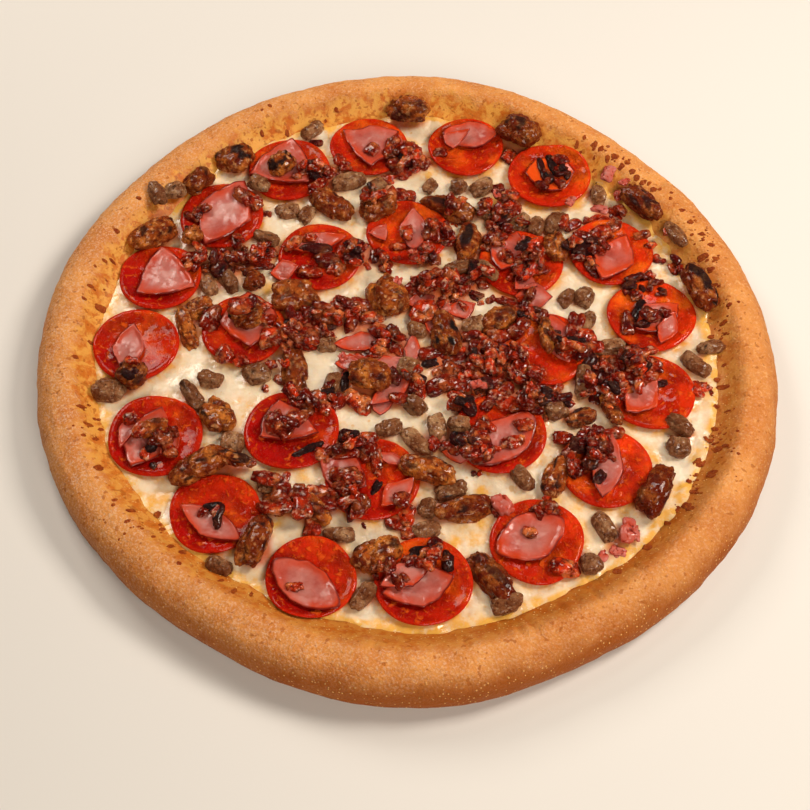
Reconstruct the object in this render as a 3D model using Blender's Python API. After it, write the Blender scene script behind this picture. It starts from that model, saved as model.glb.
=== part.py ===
"""A large meat pizza, whole and uncut, lying flat on its base.

A puffed crust holds a layer of melted cheese. On the cheese lie slices of pepperoni, curled pieces of ham,
lumps of sausage, pellets of ground beef and crumbs of bacon. Slices, ham and the largest sausage lumps are
pieces of their own. Beef, bacon and the smaller sausage lumps are baked onto whatever they lie on.
Metres, +Z up, with the origin under the pizza's middle.
"""

import math

import bpy
import numpy as np
from mathutils import Vector, noise

MM = 0.001

# Crust
PIZZA_RADIUS = 176 * MM
RIM_WIDTH = 30 * MM  # from the outer edge to the cheese
RIM_CROWN = 15 * MM  # from the outer edge to the highest line of the rim
RIM_HEIGHT = 23 * MM
SIDE_HEIGHT = 9.5 * MM  # where the side stands out furthest
FOOT_HEIGHT = 13.5 * MM  # where the rim's inner slope meets the cheese
BASE_THICKNESS = 7 * MM  # dough under the cheese
LOWER_ROUNDING = 3.0  # powers of the side's curve below and above its widest line
UPPER_ROUNDING = 2.2
CRUST_SEGMENTS = 64

# How the hand-stretched outline strays from a circle: order, cosine and sine part in mm
OUTLINE_WAVES = ((1, 0.0, 0.23), (2, -1.8, -2.0), (3, 0.0, -0.6), (4, 0.9, -0.4))
# Local swellings and dents of the outline: direction and spread in degrees, height in mm
OUTLINE_BUMPS = ((-88, 15, 1.7), (-118, 11, -1.3), (-66, 10, -1.2), (-155, 14, 1.7), (-30, 16, 1.0),
                 (50, 16, -1.3), (145, 16, -1.3))
# Rises and dips along the rim's crown: direction and spread in degrees, height in mm
CROWN_BUMPS = ((-95, 20, 1.2), (-60, 12, -0.8), (-20, 18, 0.8), (35, 15, -0.9), (80, 22, 0.9), (130, 14, -0.7),
               (170, 18, 0.8), (-140, 15, -0.8))

# Cheese
CHEESE_LEVEL = 12.5 * MM
CHEESE_SWELL = 0.5 * MM
CHEESE_RINGS = 4

# Toppings
GAP = 0.3 * MM  # between two pieces that lie against each other
CLEARANCE = 0.6 * MM  # between a baked-on crumb and a piece it doesn't belong to
SLICE_THICKNESS = 1.9 * MM
SLICE_SEGMENTS = 14
HAM_THICKNESS = 1.6 * MM
HAM_SEGMENTS = 12
HAM_RIPPLE = 1.3 * MM
HAM_CURL = 2.6 * MM  # how far the ends of a piece of ham turn up
LUMP_BELOW = 0.35  # share of a lump's height under its widest line
LUMP_ROUGHNESS = 0.17
SINK = 0.9 * MM  # how deep a baked-on crumb sits in what it lies on
GRID_STEP = 1 * MM
GRID_REACH = 170 * MM

# Pepperoni slices: x, y, radius and how far the rim turns up, in mm
PEPPERONI = (
    (-19.5, 128, 20.0, 1.5), (31.5, 127.5, 19.5, 2.0), (74, 106.5, 21.0, 2.4), (-60.5, 111.5, 21.0, 1.2),
    (-93.5, 80.5, 21.0, 1.2), (-121, 40.5, 20.0, 1.5), (-128.5, -1, 20.5, 1.5), (-114.5, -52, 21.5, 1.5),
    (-84.5, -92, 20.0, 1.0), (-41, -124, 19.5, 1.5), (7.5, -126, 21.0, 2.0), (57, -106, 20.5, 1.0),
    (90, -69, 20.5, 1.0), (114, -28, 20.5, 1.5), (118.5, 16.5, 21.0, 2.0), (102, 56.5, 20.5, 1.5),
    (-43, 53.5, 20.5, 1.0), (1, 69.5, 20.5, 1.0), (-78, 8.5, 20.0, 1.2), (-52.5, -48.5, 21.5, 1.0),
    (-15, -74.5, 21.0, 1.0), (43, -50.5, 21.0, 1.2), (67, -2.5, 20.5, 1.0), (57, 49.5, 20.5, 1.0),
)

# Pieces of ham: x, y, length, width in mm, turn in degrees, number of corners
HAM = (
    (-18, 129, 34, 33, -90, 3), (34, 134.5, 28, 18, 0, 2), (74.5, 107, 24, 24, 0, 6), (-63.5, 113.5, 37, 35, 78, 3),
    (-92, 81, 44, 28, 68, 4), (-118.5, 40.5, 36, 31, 100, 3), (-131.5, -4, 27, 15, 85, 4),
    (-118, -54.5, 33, 22, 70, 4), (-86, -98, 33, 14, -32, 4), (-43, -128, 35, 19, -38, 2),
    (5, -129, 31, 21, 15, 4), (54, -105, 33, 22, 30, 2), (90, -70, 34, 15, 78, 4), (109, -32, 24, 16, 48, 4),
    (121, 14.5, 26, 18, 35, 4), (103, 51.5, 30, 20, 62, 4), (-46, 61, 33, 13, 12, 4), (4, 69, 28, 15, 92, 4),
    (-75.5, 14, 35, 27, 95, 4), (-55, -46.5, 31, 25, -20, 3), (-28, -73, 25, 19, -35, 4),
    (44, -55, 37, 22, 38, 2), (73, 1.5, 29, 16, 105, 4), (51, 55, 25, 19, 70, 4), (-20, -15, 30, 19, -25, 3),
)

# Sausage lumps that are pieces of their own: x, y, length, width in mm, turn in degrees
SAUSAGE = (
    (1, 150, 24, 16, -10), (60, 134, 22, 18, -30), (-126, 67, 26, 15, 35), (119.5, 84, 27, 13, -55),
    (143, 30, 27, 14, -70), (-92, -69, 26, 14, 30), (36, -122, 28, 13, -55), (110.5, -82, 28, 14, 60),
    (-65, -108, 25, 14, 75),
)

# Sausage lumps baked onto what they lie on, given as those above
BAKED_SAUSAGE = (
    (-88.5, 116.5, 20, 16, 15), (-107, 101, 17, 14, 60), (-108, 66, 12, 11, 0), (22, 85.5, 28, 13, -25),
    (-38, 87.5, 26, 14, -40), (-15, 84, 20, 16, 20), (31, 62, 24, 13, 75), (-54, 28, 24, 16, 10),
    (-74.5, 38, 12, 11, 0), (-105.5, 10, 26, 9, -75), (19, 5, 24, 14, 100), (-18, -19.5, 22, 15, -20),
    (-53, -14, 25, 12, -75), (-87, -40.5, 20, 15, -45), (-13, -113, 22, 16, 45), (9, -69.5, 25, 14, -20),
    (25, -90.5, 24, 13, 10), (67, -73.5, 22, 11, 75), (45, 13, 20, 14, 45), (67, 3, 19, 9, 100),
    (-9, 28, 26, 17, -60), (75, 58, 20, 10, 100), (-101, 21, 15, 12, 30), (95, -38, 18, 8, -70),
    (-76, 14, 17, 13, 20), (-64, 112, 16, 14, 40), (-56, -88, 14, 12, 0), (-41, -90, 20, 11, -40),
    (-78, -67, 17, 8, -20), (-128, -21, 15, 13, 50), (-116, -50, 16, 9, 20), (80, -42, 16, 9, 15),
)

# Pellets of ground beef, given as those above
BEEF = (
    (-50, 140, 14, 9, 45), (-126, 88, 16, 8, -65), (-118, 92.5, 12, 10, 20), (-76, 99.5, 14, 8, -25),
    (-60, 84, 13, 9, 10), (-70, 66, 15, 8, -25), (-30, 102.5, 18, 10, 15), (-14.5, 100, 12, 9, 45),
    (12, 101.5, 10, 7, 60), (27, 100.5, 10, 9, 0), (39, 100, 14, 9, 30), (98, 94, 14, 9, 100),
    (57.5, 76, 14, 9, 60), (66, 74, 14, 9, 75), (75, 76, 15, 9, 60), (40, 85, 13, 9, 80),
    (-50, 81, 13, 7, 60), (-88, 40, 16, 9, -60), (-96.5, 35, 13, 8, -60), (-91, -21, 13, 9, -15),
    (-71, -18, 14, 10, 15), (-101, -28, 19, 8, -55), (-138.5, -28, 16, 12, -10), (-79, -55.5, 14, 10, 80),
    (-61, -78.5, 12, 9, 0), (-80, -118, 12, 9, -20), (-29, -103, 14, 8, 0), (-18, -133, 14, 9, 60),
    (9, -100, 13, 9, 20), (9, -89, 10, 9, 0), (20, -80, 18, 8, 20), (44, -136.5, 15, 9, 10),
    (52, -74.5, 14, 9, -55), (79, -117, 11, 10, 0), (87, -99, 17, 9, -60), (127, -47.5, 16, 9, -40),
    (124, -57.5, 11, 11, 0), (137, -12, 16, 10, -40), (4, -35, 14, 9, -45), (14, -46.5, 14, 9, -75),
    (5, -53.5, 17, 9, -45), (-8, -47.5, 13, 9, 10), (25, -46.5, 12, 9, 0), (-35, -23, 15, 8, 75),
    (5.5, 8, 10, 8, 0), (1, -14, 13, 9, -15), (33, 11, 12, 10, 0), (26.5, 47, 15, 8, 10),
    (40, 43, 16, 7, -50), (83, -22.5, 18, 9, 85), (87, 13, 13, 9, 60), (98, -1, 18, 9, 5),
    (78, 29, 12, 8, 60), (87, 28, 13, 9, 70), (70, -38, 12, 9, 20), (134, 63, 18, 8, -60),
    (-38, 1, 10, 9, 0), (145, -3, 14, 8, 20),
)

# Heaps of bacon crumbs: x, y, spread in mm and number of crumbs that are large enough to model
BACON_HEAPS = (
    (0, 117, 7, 2), (-45, 104, 6, 1), (-73, 57, 8, 2), (-90, 52, 5, 1), (-50, 6, 12, 3), (-28, 17, 9, 2),
    (-45, -32, 9, 1), (-113, -57, 8, 1), (-22, -84, 8, 2), (-27, -58, 5, 1), (8, -113, 6, 1), (18, 36, 13, 3),
    (-9, 50, 5, 1), (18, 66, 7, 1), (44, 73, 9, 2), (64, 46, 9, 2), (92, 55, 8, 1), (97, -18, 15, 4),
    (44, -15, 15, 3), (31, -59, 8, 1), (55, -30, 9, 1), (82, -58, 9, 2), (114, 29, 6, 1), (103, 82, 7, 1),
    (42, -88, 3, 1), (98, -101, 3, 1), (128, 50, 6, 1),
)
CRUMB_LENGTHS = (6.5, 9.5)  # mm
CRUMB_WIDTHS = (4.5, 6.5)
CRUMB_FLATNESS = 0.6  # height against width
SAUSAGE_FLATNESS = 0.66
BEEF_FLATNESS = 0.72
SAUSAGE_FINENESS = (9, 4)  # sides round a lump and rings of points between its ends
BAKED_FINENESS = (6, 3)
BEEF_FINENESS = (6, 2)
CRUMB_FINENESS = (5, 2)
BACON_SEED = 7
NUDGES = (0.0, 1.5, 3.0)  # mm, how far a crumb that lands badly may be moved
NUDGE_DIRECTIONS = 8

# Colour, roughness and metallic value of each material
FINISHES = {
    "crust": ((0.60, 0.33, 0.13), 0.62, 0.0),
    "cheese": ((0.86, 0.76, 0.55), 0.38, 0.0),
    "pepperoni": ((0.55, 0.05, 0.02), 0.34, 0.0),
    "ham": ((0.72, 0.36, 0.30), 0.36, 0.0),
    "sausage": ((0.30, 0.11, 0.04), 0.45, 0.0),
    "beef": ((0.25, 0.15, 0.09), 0.55, 0.0),
    "bacon": ((0.22, 0.03, 0.02), 0.30, 0.0),
}


def clear_scene():
    for old in list(bpy.data.objects):
        bpy.data.objects.remove(old)


def make_materials():
    materials = {}
    for name, (colour, roughness, metallic) in FINISHES.items():
        material = bpy.data.materials.new(name)
        material.use_nodes = True
        shader = material.node_tree.nodes["Principled BSDF"]
        shader.inputs["Base Color"].default_value = (*colour, 1)
        shader.inputs["Roughness"].default_value = roughness
        shader.inputs["Metallic"].default_value = metallic
        materials[name] = material
    return materials


def bumps(angle, rows):
    """The sum of smooth local bumps, given as direction, spread and height, at an angle or an array of them."""
    total = 0 * angle
    for centre, spread, height in rows:
        turn = (np.degrees(angle) - centre + 180) % 360 - 180
        total = total + height * MM * np.exp(-((turn / spread) ** 2))
    return total


def outline_radius(angle):
    """Distance of the crust's outer edge from the middle."""
    radius = PIZZA_RADIUS + bumps(angle, OUTLINE_BUMPS)
    for order, cosine, sine in OUTLINE_WAVES:
        radius = radius + MM * (cosine * np.cos(order * angle) + sine * np.sin(order * angle))
    return radius


def crown_height(angle):
    return RIM_HEIGHT + bumps(angle, CROWN_BUMPS)


def slope_height(inset, angle):
    """Height of the rim's inner slope, by the distance in from the outer edge."""
    way = np.clip((inset - RIM_CROWN) / (RIM_WIDTH - RIM_CROWN), 0, 1)
    return FOOT_HEIGHT + (crown_height(angle) - FOOT_HEIGHT) * (0.5 + 0.5 * np.cos(math.pi * way))


def cheese_height(x, y):
    """Slow swells of the melted cheese."""
    swell = np.sin(x / (21 * MM) + 0.7) * np.cos(y / (26 * MM)) + 0.6 * np.sin((x + y) / (33 * MM))
    return CHEESE_LEVEL + CHEESE_SWELL * swell


def ground_height(x, y):
    """The bare pizza's surface: cheese, then the rim's inner slope."""
    angle = np.arctan2(y, x)
    inset = outline_radius(angle) - np.hypot(x, y)
    return np.where(inset > RIM_WIDTH, cheese_height(x, y), slope_height(inset, angle))


def add_object(name, points, faces, materials, finish):
    mesh = bpy.data.meshes.new(name)
    mesh.from_pydata(points, [], faces)
    mesh.materials.append(materials[finish])
    mesh.shade_smooth()
    mesh.set_sharp_from_angle(angle=math.radians(50))
    piece = bpy.data.objects.new(name, mesh)
    bpy.context.scene.collection.objects.link(piece)
    return piece


def ring_body(name, low_point, rings, high_point, materials, finish):
    """A closed body from rings of points, each anticlockwise seen from above, between two end points."""
    count = len(rings[0])
    points = [low_point, high_point]
    starts = []
    for ring in rings:
        starts.append(len(points))
        points.extend(ring)
    faces = []
    for i in range(count):
        after = (i + 1) % count
        faces.append((0, starts[0] + after, starts[0] + i))
        faces.append((1, starts[-1] + i, starts[-1] + after))
    spans = [math.hypot(ring[0][0] - low_point[0], ring[0][1] - low_point[1]) for ring in rings]
    for level in range(len(rings) - 1):
        low, high = starts[level], starts[level + 1]
        growing = spans[level + 1] > spans[level]
        for i in range(count):
            after = (i + 1) % count
            if growing:
                faces.append((low + i, low + after, high + after))
                faces.append((low + i, high + after, high + i))
            else:
                faces.append((low + i, low + after, high + i))
                faces.append((low + after, high + after, high + i))
    return add_object(name, points, faces, materials, finish)


def circle_ring(radii, heights):
    """One point for each of the crust's segments."""
    ring = []
    for i, (radius, height) in enumerate(zip(radii, heights)):
        angle = 2 * math.pi * i / CRUST_SEGMENTS
        ring.append((radius * math.cos(angle), radius * math.sin(angle), height))
    return ring


def make_crust(materials):
    """Flat base and puffed rim, from the flat underside round the side and over the crown to the cheese."""
    angles = np.arange(CRUST_SEGMENTS) * 2 * math.pi / CRUST_SEGMENTS
    outer = outline_radius(angles)
    crown = crown_height(angles)
    rings = []
    for degrees in (-90, -62, -38, -17):
        turn = math.radians(degrees)
        inset = RIM_CROWN * (1 - math.cos(turn) ** (2 / LOWER_ROUNDING))
        drop = SIDE_HEIGHT * abs(math.sin(turn)) ** (2 / LOWER_ROUNDING)
        rings.append(circle_ring(outer - inset, SIDE_HEIGHT - drop + 0 * crown))
    for degrees in (0, 17, 36, 55, 74, 90):
        turn = math.radians(degrees)
        inset = RIM_CROWN * (1 - max(math.cos(turn), 0) ** (2 / UPPER_ROUNDING))
        rise = math.sin(turn) ** (2 / UPPER_ROUNDING)
        rings.append(circle_ring(outer - inset, SIDE_HEIGHT + (crown - SIDE_HEIGHT) * rise))
    for way in (0.3, 0.55, 0.78, 1.0):
        inset = RIM_CROWN + way * (RIM_WIDTH - RIM_CROWN)
        rings.append(circle_ring(outer - inset, slope_height(inset, angles)))
    rings.append(circle_ring(outer - RIM_WIDTH, BASE_THICKNESS + 0 * crown))
    return ring_body("crust", (0, 0, 0), rings, (0, 0, BASE_THICKNESS), materials, "crust")


def make_cheese(materials):
    """A thick layer that fills the crust's hollow."""
    angles = np.arange(CRUST_SEGMENTS) * 2 * math.pi / CRUST_SEGMENTS
    edge = outline_radius(angles) - RIM_WIDTH - GAP
    bottom = BASE_THICKNESS + GAP
    rings = [circle_ring(edge, bottom + 0 * edge)]
    for level in range(CHEESE_RINGS, 0, -1):
        radii = edge * level / CHEESE_RINGS
        rings.append(circle_ring(radii, cheese_height(radii * np.cos(angles), radii * np.sin(angles))))
    middle = (0, 0, float(cheese_height(0.0, 0.0)))
    return ring_body("cheese", (0, 0, bottom), rings, middle, materials, "cheese")


def sheet_body(name, place, outline, underside, thickness, segments, materials, finish):
    """A thin curved sheet: an outline round its place, and the height of its underside at each point."""
    x, y = place
    rings = []
    for share, lift in ((0.6, 0), (1, 0), (1, thickness), (0.6, thickness)):
        ring = []
        for i in range(segments):
            angle = 2 * math.pi * i / segments
            reach = share * outline(angle)
            point_x = x + reach * math.cos(angle)
            point_y = y + reach * math.sin(angle)
            ring.append((point_x, point_y, float(underside(point_x, point_y)) + lift))
        rings.append(ring)
    middle = float(underside(x, y))
    return ring_body(name, (x, y, middle), rings, (x, y, middle + thickness), materials, finish)


class Layers:
    """How high the pizza reaches at each point of its plan, and which piece is uppermost there."""

    def __init__(self):
        count = round(GRID_REACH / GRID_STEP)
        line = np.arange(-count, count + 1) * GRID_STEP
        self.x, self.y = np.meshgrid(line, line, indexing="ij")
        self.top = ground_height(self.x, self.y)
        inset = outline_radius(np.arctan2(self.y, self.x)) - np.hypot(self.x, self.y)
        self.owner = np.where(inset > RIM_WIDTH, "cheese", "crust").astype(object)

    def cover(self, name, inside, top):
        higher = inside & (top > self.top)
        self.top[higher] = top[higher]
        self.owner[higher] = name

    def nearest(self, x, y):
        """Index of the grid point nearest to a place."""
        middle = round(GRID_REACH / GRID_STEP)
        return middle + round(x / GRID_STEP), middle + round(y / GRID_STEP)


def make_pepperoni(layers, materials):
    """Round slices, with rims that turn up and ride over the foot of the crust."""
    made = []
    for number, row in enumerate(PEPPERONI, 1):
        x, y, radius, curl = (value * MM for value in row)

        def underside(px, py):
            share = np.hypot(px - x, py - y) / radius
            laid = cheese_height(px, py) + 1.7 * GAP + curl * share**3
            return np.maximum(laid, ground_height(px, py) + 2 * GAP)

        name = f"pepperoni_{number:02d}"
        piece = sheet_body(name, (x, y), lambda angle: radius, underside, SLICE_THICKNESS, SLICE_SEGMENTS,
                           materials, "pepperoni")
        made.append(piece)
        inside = np.hypot(layers.x - x, layers.y - y) < radius
        layers.cover(name, inside, underside(layers.x, layers.y) + SLICE_THICKNESS)
    return made


def ham_reach(angle, length, width, turn, corners):
    """Distance from a piece of ham's middle to its outline: a polygon with soft corners, stretched to size."""
    along = np.cos(angle - turn) / (length / 2)
    across = np.sin(angle - turn) / (width / 2)
    oval = 1 / np.hypot(along, across)
    if corners == 2:
        return oval * (1 - 0.12 * np.sin(angle - turn) ** 2)
    part = 2 * math.pi / corners
    local = (np.arctan2(across, along) + part / 2) % part - part / 2
    polygon = math.cos(part / 2) / np.cos(part / 2 - abs(local))
    return oval * (0.35 + 0.65 * polygon)


def make_ham(layers, materials):
    """Torn pieces with turned-up ends and ripples, each on the slice or cheese under it."""
    made = []
    for number, (x, y, length, width, turn, corners) in enumerate(HAM, 1):
        x, y, length, width = (value * MM for value in (x, y, length, width))
        turn = math.radians(turn)
        away = np.arctan2(layers.y - y, layers.x - x)
        inside = np.hypot(layers.x - x, layers.y - y) < ham_reach(away, length, width, turn, corners)
        rest = layers.top[inside].max() + 2 * GAP

        def underside(px, py):
            along = ((px - x) * math.cos(turn) + (py - y) * math.sin(turn)) / (length / 2)
            across = ((py - y) * math.cos(turn) - (px - x) * math.sin(turn)) / (width / 2)
            ripple = HAM_RIPPLE * (0.5 + 0.5 * np.sin(3.1 * along + 1.7 * across + number))
            return rest + ripple + HAM_CURL * np.clip(abs(along) - 0.25, 0, 1) ** 2

        def outline(angle):
            return float(ham_reach(angle, length, width, turn, corners))

        name = f"ham_{number:02d}"
        piece = sheet_body(name, (x, y), outline, underside, HAM_THICKNESS, HAM_SEGMENTS, materials, "ham")
        made.append(piece)
        layers.cover(name, inside, underside(layers.x, layers.y) + HAM_THICKNESS)
    return made


class Lump:
    """A rounded lump: its place, its size and its turn. It fills at most a rounded block of that size."""

    def __init__(self, x, y, length, width, turn, flatness):
        self.x = x * MM
        self.y = y * MM
        self.length = length * MM
        self.width = width * MM
        self.turn = math.radians(turn)
        self.below = LUMP_BELOW * flatness * self.width
        self.above = (1 - LUMP_BELOW) * flatness * self.width
        self.mid = 0.0

    def fullness(self, x, y, margin=0.0):
        """1 over the lump's middle, 0 at its outline and beyond."""
        along = (x - self.x) * math.cos(self.turn) + (y - self.y) * math.sin(self.turn)
        across = (y - self.y) * math.cos(self.turn) - (x - self.x) * math.sin(self.turn)
        far = np.hypot(along / (self.length / 2 + margin), across / (self.width / 2 + margin))
        return np.sqrt(np.clip(1 - far**2, 0, None))

    def lower(self, fullness):
        return self.mid - self.below * fullness**0.6

    def upper(self, fullness):
        return self.mid + self.above * fullness

    def rest_on(self, layers):
        """Sets the height of a loose lump, so that it just clears everything under it."""
        fullness = self.fullness(layers.x, layers.y, CLEARANCE)
        inside = fullness > 0
        self.mid = (layers.top + self.below * fullness**0.6)[inside].max() + GAP

    def bake_into(self, layers):
        """Sets the height of a lump baked onto the piece under its middle, and tells whether that works."""
        spot = layers.nearest(self.x, self.y)
        carrier = layers.owner[spot]
        self.mid = layers.top[spot] + self.below - SINK
        fullness = self.fullness(layers.x, layers.y, CLEARANCE)
        foreign = (fullness > 0) & (layers.owner != carrier)
        blocked = foreign & (self.lower(fullness) < layers.top + CLEARANCE)
        return carrier if carrier != "crust" and not blocked.any() else None

    def cover(self, layers, name):
        fullness = self.fullness(layers.x, layers.y)
        layers.cover(name, fullness > 0, self.upper(fullness))

    def body(self, name, segments, levels, materials, finish):
        """The lump's mesh, with dents where a noise says, so that it stays within its size."""
        heading = Vector((math.cos(self.turn), math.sin(self.turn), 0))
        side = Vector((-heading.y, heading.x, 0))
        middle = Vector((self.x, self.y, self.mid))

        def point(ball):
            dent = 0.5 + 0.5 * noise.noise(2.1 * ball + 90 * middle)
            ball = ball * (1 - LUMP_ROUGHNESS * dent)
            rise = self.above * ball.z if ball.z > 0 else -self.below * (-ball.z) ** 0.6
            flat = middle + heading * ball.x * self.length / 2 + side * ball.y * self.width / 2
            return (flat.x, flat.y, flat.z + rise)

        rings = []
        for level in range(1, levels + 1):
            slope = math.pi * level / (levels + 1) - math.pi / 2
            ring = []
            for i in range(segments):
                angle = 2 * math.pi * (i + 0.5 * (level % 2)) / segments
                flat = math.cos(slope)
                ring.append(point(Vector((flat * math.cos(angle), flat * math.sin(angle), math.sin(slope)))))
            rings.append(ring)
        low = point(Vector((0, 0, -1)))
        high = point(Vector((0, 0, 1)))
        return ring_body(name, low, rings, high, materials, finish)


def make_sausage(layers, materials):
    """The largest lumps, each a piece of its own."""
    made = []
    for number, row in enumerate(SAUSAGE, 1):
        lump = Lump(*row, SAUSAGE_FLATNESS)
        lump.rest_on(layers)
        name = f"sausage_{number:02d}"
        made.append(lump.body(name, *SAUSAGE_FINENESS, materials, "sausage"))
        lump.cover(layers, name)
    return made


def bake(layers, row, flatness, fineness, crumbs, materials, finish):
    """Adds one baked-on lump to its carrier's list, moved a little if it would touch another piece, or skips it."""
    x, y, length, width, turn = row
    for distance in NUDGES:
        for step in range(NUDGE_DIRECTIONS if distance else 1):
            way = 2 * math.pi * step / NUDGE_DIRECTIONS
            moved_x = x + distance * math.cos(way)
            moved_y = y + distance * math.sin(way)
            lump = Lump(moved_x, moved_y, length, width, turn, flatness)
            carrier = lump.bake_into(layers)
            if carrier:
                lump.cover(layers, carrier)
                name = f"{finish}_crumb_{len(crumbs)}"
                crumbs.append((carrier, lump.body(name, *fineness, materials, finish)))
                return


def bacon_rows():
    """Crumbs scattered round the middle of each heap."""
    draw = np.random.default_rng(BACON_SEED)
    rows = []
    for x, y, spread, count in BACON_HEAPS:
        for _ in range(count):
            away = spread * math.sqrt(draw.random())
            way = 2 * math.pi * draw.random()
            length = draw.uniform(*CRUMB_LENGTHS)
            width = draw.uniform(*CRUMB_WIDTHS)
            rows.append((x + away * math.cos(way), y + away * math.sin(way), length, width, draw.uniform(0, 180)))
    return rows


def make_crumbs(layers, materials):
    """Everything that is baked onto a piece: smaller sausage lumps, then beef, then bacon on top."""
    crumbs = []
    for row in BAKED_SAUSAGE:
        bake(layers, row, SAUSAGE_FLATNESS, BAKED_FINENESS, crumbs, materials, "sausage")
    for row in BEEF:
        bake(layers, row, BEEF_FLATNESS, BEEF_FINENESS, crumbs, materials, "beef")
    for row in bacon_rows():
        bake(layers, row, CRUMB_FLATNESS, CRUMB_FINENESS, crumbs, materials, "bacon")
    return crumbs


def drop_scraps(mesh):
    """Keeps the body itself, without loose scraps or the walls of sealed hollows."""
    links = {}
    for edge in mesh.edges:
        a, b = edge.vertices
        links.setdefault(a, []).append(b)
        links.setdefault(b, []).append(a)
    seen = set()
    groups = []
    for first in links:
        if first in seen:
            continue
        group = {first}
        waiting = [first]
        while waiting:
            for other in links[waiting.pop()]:
                if other not in group:
                    group.add(other)
                    waiting.append(other)
        seen |= group
        groups.append(group)
    body = max(groups, key=len)
    points = [tuple(mesh.vertices[i].co) for i in sorted(body)]
    index = {old: new for new, old in enumerate(sorted(body))}
    kept = [face for face in mesh.polygons if face.vertices[0] in body]
    faces = [tuple(index[i] for i in face.vertices) for face in kept]
    finishes = [face.material_index for face in kept]
    clean = bpy.data.meshes.new(mesh.name)
    clean.from_pydata(points, [], faces)
    for material in mesh.materials:
        clean.materials.append(material)
    clean.polygons.foreach_set("material_index", finishes)
    clean.shade_smooth()
    clean.set_sharp_from_angle(angle=math.radians(50))
    return clean


def fuse(carrier, bits):
    """Bakes the bits onto their carrier as one body, by one union on a collection."""
    group = bpy.data.collections.new(carrier.name + "_bits")
    bpy.context.scene.collection.children.link(group)
    for bit in bits:
        group.objects.link(bit)
    union = carrier.modifiers.new("Bake on", "BOOLEAN")
    union.operation = "UNION"
    union.operand_type = "COLLECTION"
    union.collection = group
    union.material_mode = "TRANSFER"
    graph = bpy.context.evaluated_depsgraph_get()
    fused = bpy.data.meshes.new_from_object(carrier.evaluated_get(graph))
    carrier.modifiers.clear()
    carrier.data = drop_scraps(fused)
    for bit in bits:
        bpy.data.objects.remove(bit)
    bpy.data.collections.remove(group)


def main():
    clear_scene()
    materials = make_materials()
    crust = make_crust(materials)
    cheese = make_cheese(materials)
    layers = Layers()
    pieces = [crust, cheese]
    pieces += make_pepperoni(layers, materials)
    pieces += make_ham(layers, materials)
    pieces += make_sausage(layers, materials)
    crumbs = make_crumbs(layers, materials)
    for piece in pieces:
        bits = [crumb for carrier, crumb in crumbs if carrier == piece.name]
        if bits:
            fuse(piece, bits)


main()
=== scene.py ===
"""The looks of a large meat pizza: puffed crust, melted cheese and five kinds of meat. Metres, +Z up.

Most places below are in mm on the pizza's plan, with the origin at its middle. The crust, the cheese,
each slice of pepperoni, each piece of ham and each loose sausage lump stand for one node of the frame. What
is baked onto them, sausage, beef and bacon, is joined into one piece for each kind.
"""

import math

import bpy
import numpy as np
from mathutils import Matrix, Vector


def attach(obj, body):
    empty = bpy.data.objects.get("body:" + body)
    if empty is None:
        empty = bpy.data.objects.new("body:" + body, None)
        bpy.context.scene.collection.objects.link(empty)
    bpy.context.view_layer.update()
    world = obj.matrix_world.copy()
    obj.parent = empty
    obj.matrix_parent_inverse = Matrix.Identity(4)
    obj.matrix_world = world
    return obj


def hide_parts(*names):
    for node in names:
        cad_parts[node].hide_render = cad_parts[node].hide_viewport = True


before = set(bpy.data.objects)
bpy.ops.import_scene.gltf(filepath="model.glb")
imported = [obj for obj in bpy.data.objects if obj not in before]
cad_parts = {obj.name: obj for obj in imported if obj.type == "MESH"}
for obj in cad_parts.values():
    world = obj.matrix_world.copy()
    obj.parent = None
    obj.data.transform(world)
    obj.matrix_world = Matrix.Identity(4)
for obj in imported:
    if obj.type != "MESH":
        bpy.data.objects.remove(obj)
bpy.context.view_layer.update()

MM = 0.001

# Camera, lights and floor
VIEW_TARGET = Vector((-0.0005, -0.0251, 0))
VIEW_ELEVATION = math.radians(56.5)
VIEW_DISTANCE = 0.68
VIEW_LENS = 63.5  # mm, on a 36 mm sensor
FLOOR_REACH = 3.0
# Lights: name, place, width in metres, power in watts and colour
LIGHTS = (
    ("key light", (0.67, 0.14, 0.78), 0.30, 7.4, (1.0, 0.90, 0.79)),
    ("back light", (-0.46, 0.62, 0.72), 0.40, 4.9, (1.0, 0.90, 0.80)),
    ("sheen light", (0.26, 0.43, 0.76), 0.12, 0.45, (1.0, 0.95, 0.90)),
    ("front light", (0.30, -0.90, 0.80), 0.6, 7.4, (1.0, 0.90, 0.79)),
)

# Crust
PIZZA_RADIUS = 176 * MM
RIM_WIDTH = 30 * MM  # from the outer edge to the cheese
RIM_CROWN = 15 * MM  # from the outer edge to the highest line of the rim
RIM_HEIGHT = 23 * MM
SIDE_HEIGHT = 9.5 * MM  # where the side stands out furthest
FOOT_HEIGHT = 13.5 * MM  # where the rim's inner slope meets the cheese
BASE_THICKNESS = 7 * MM
LOWER_ROUNDING = 3.0
UPPER_ROUNDING = 2.2
# Waves all round the outline: how many, and their cosine and sine parts in mm
OUTLINE_WAVES = ((1, 0.0, 0.23), (2, -1.8, -2.0), (3, 0.0, -0.6), (4, 0.9, -0.4))
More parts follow.
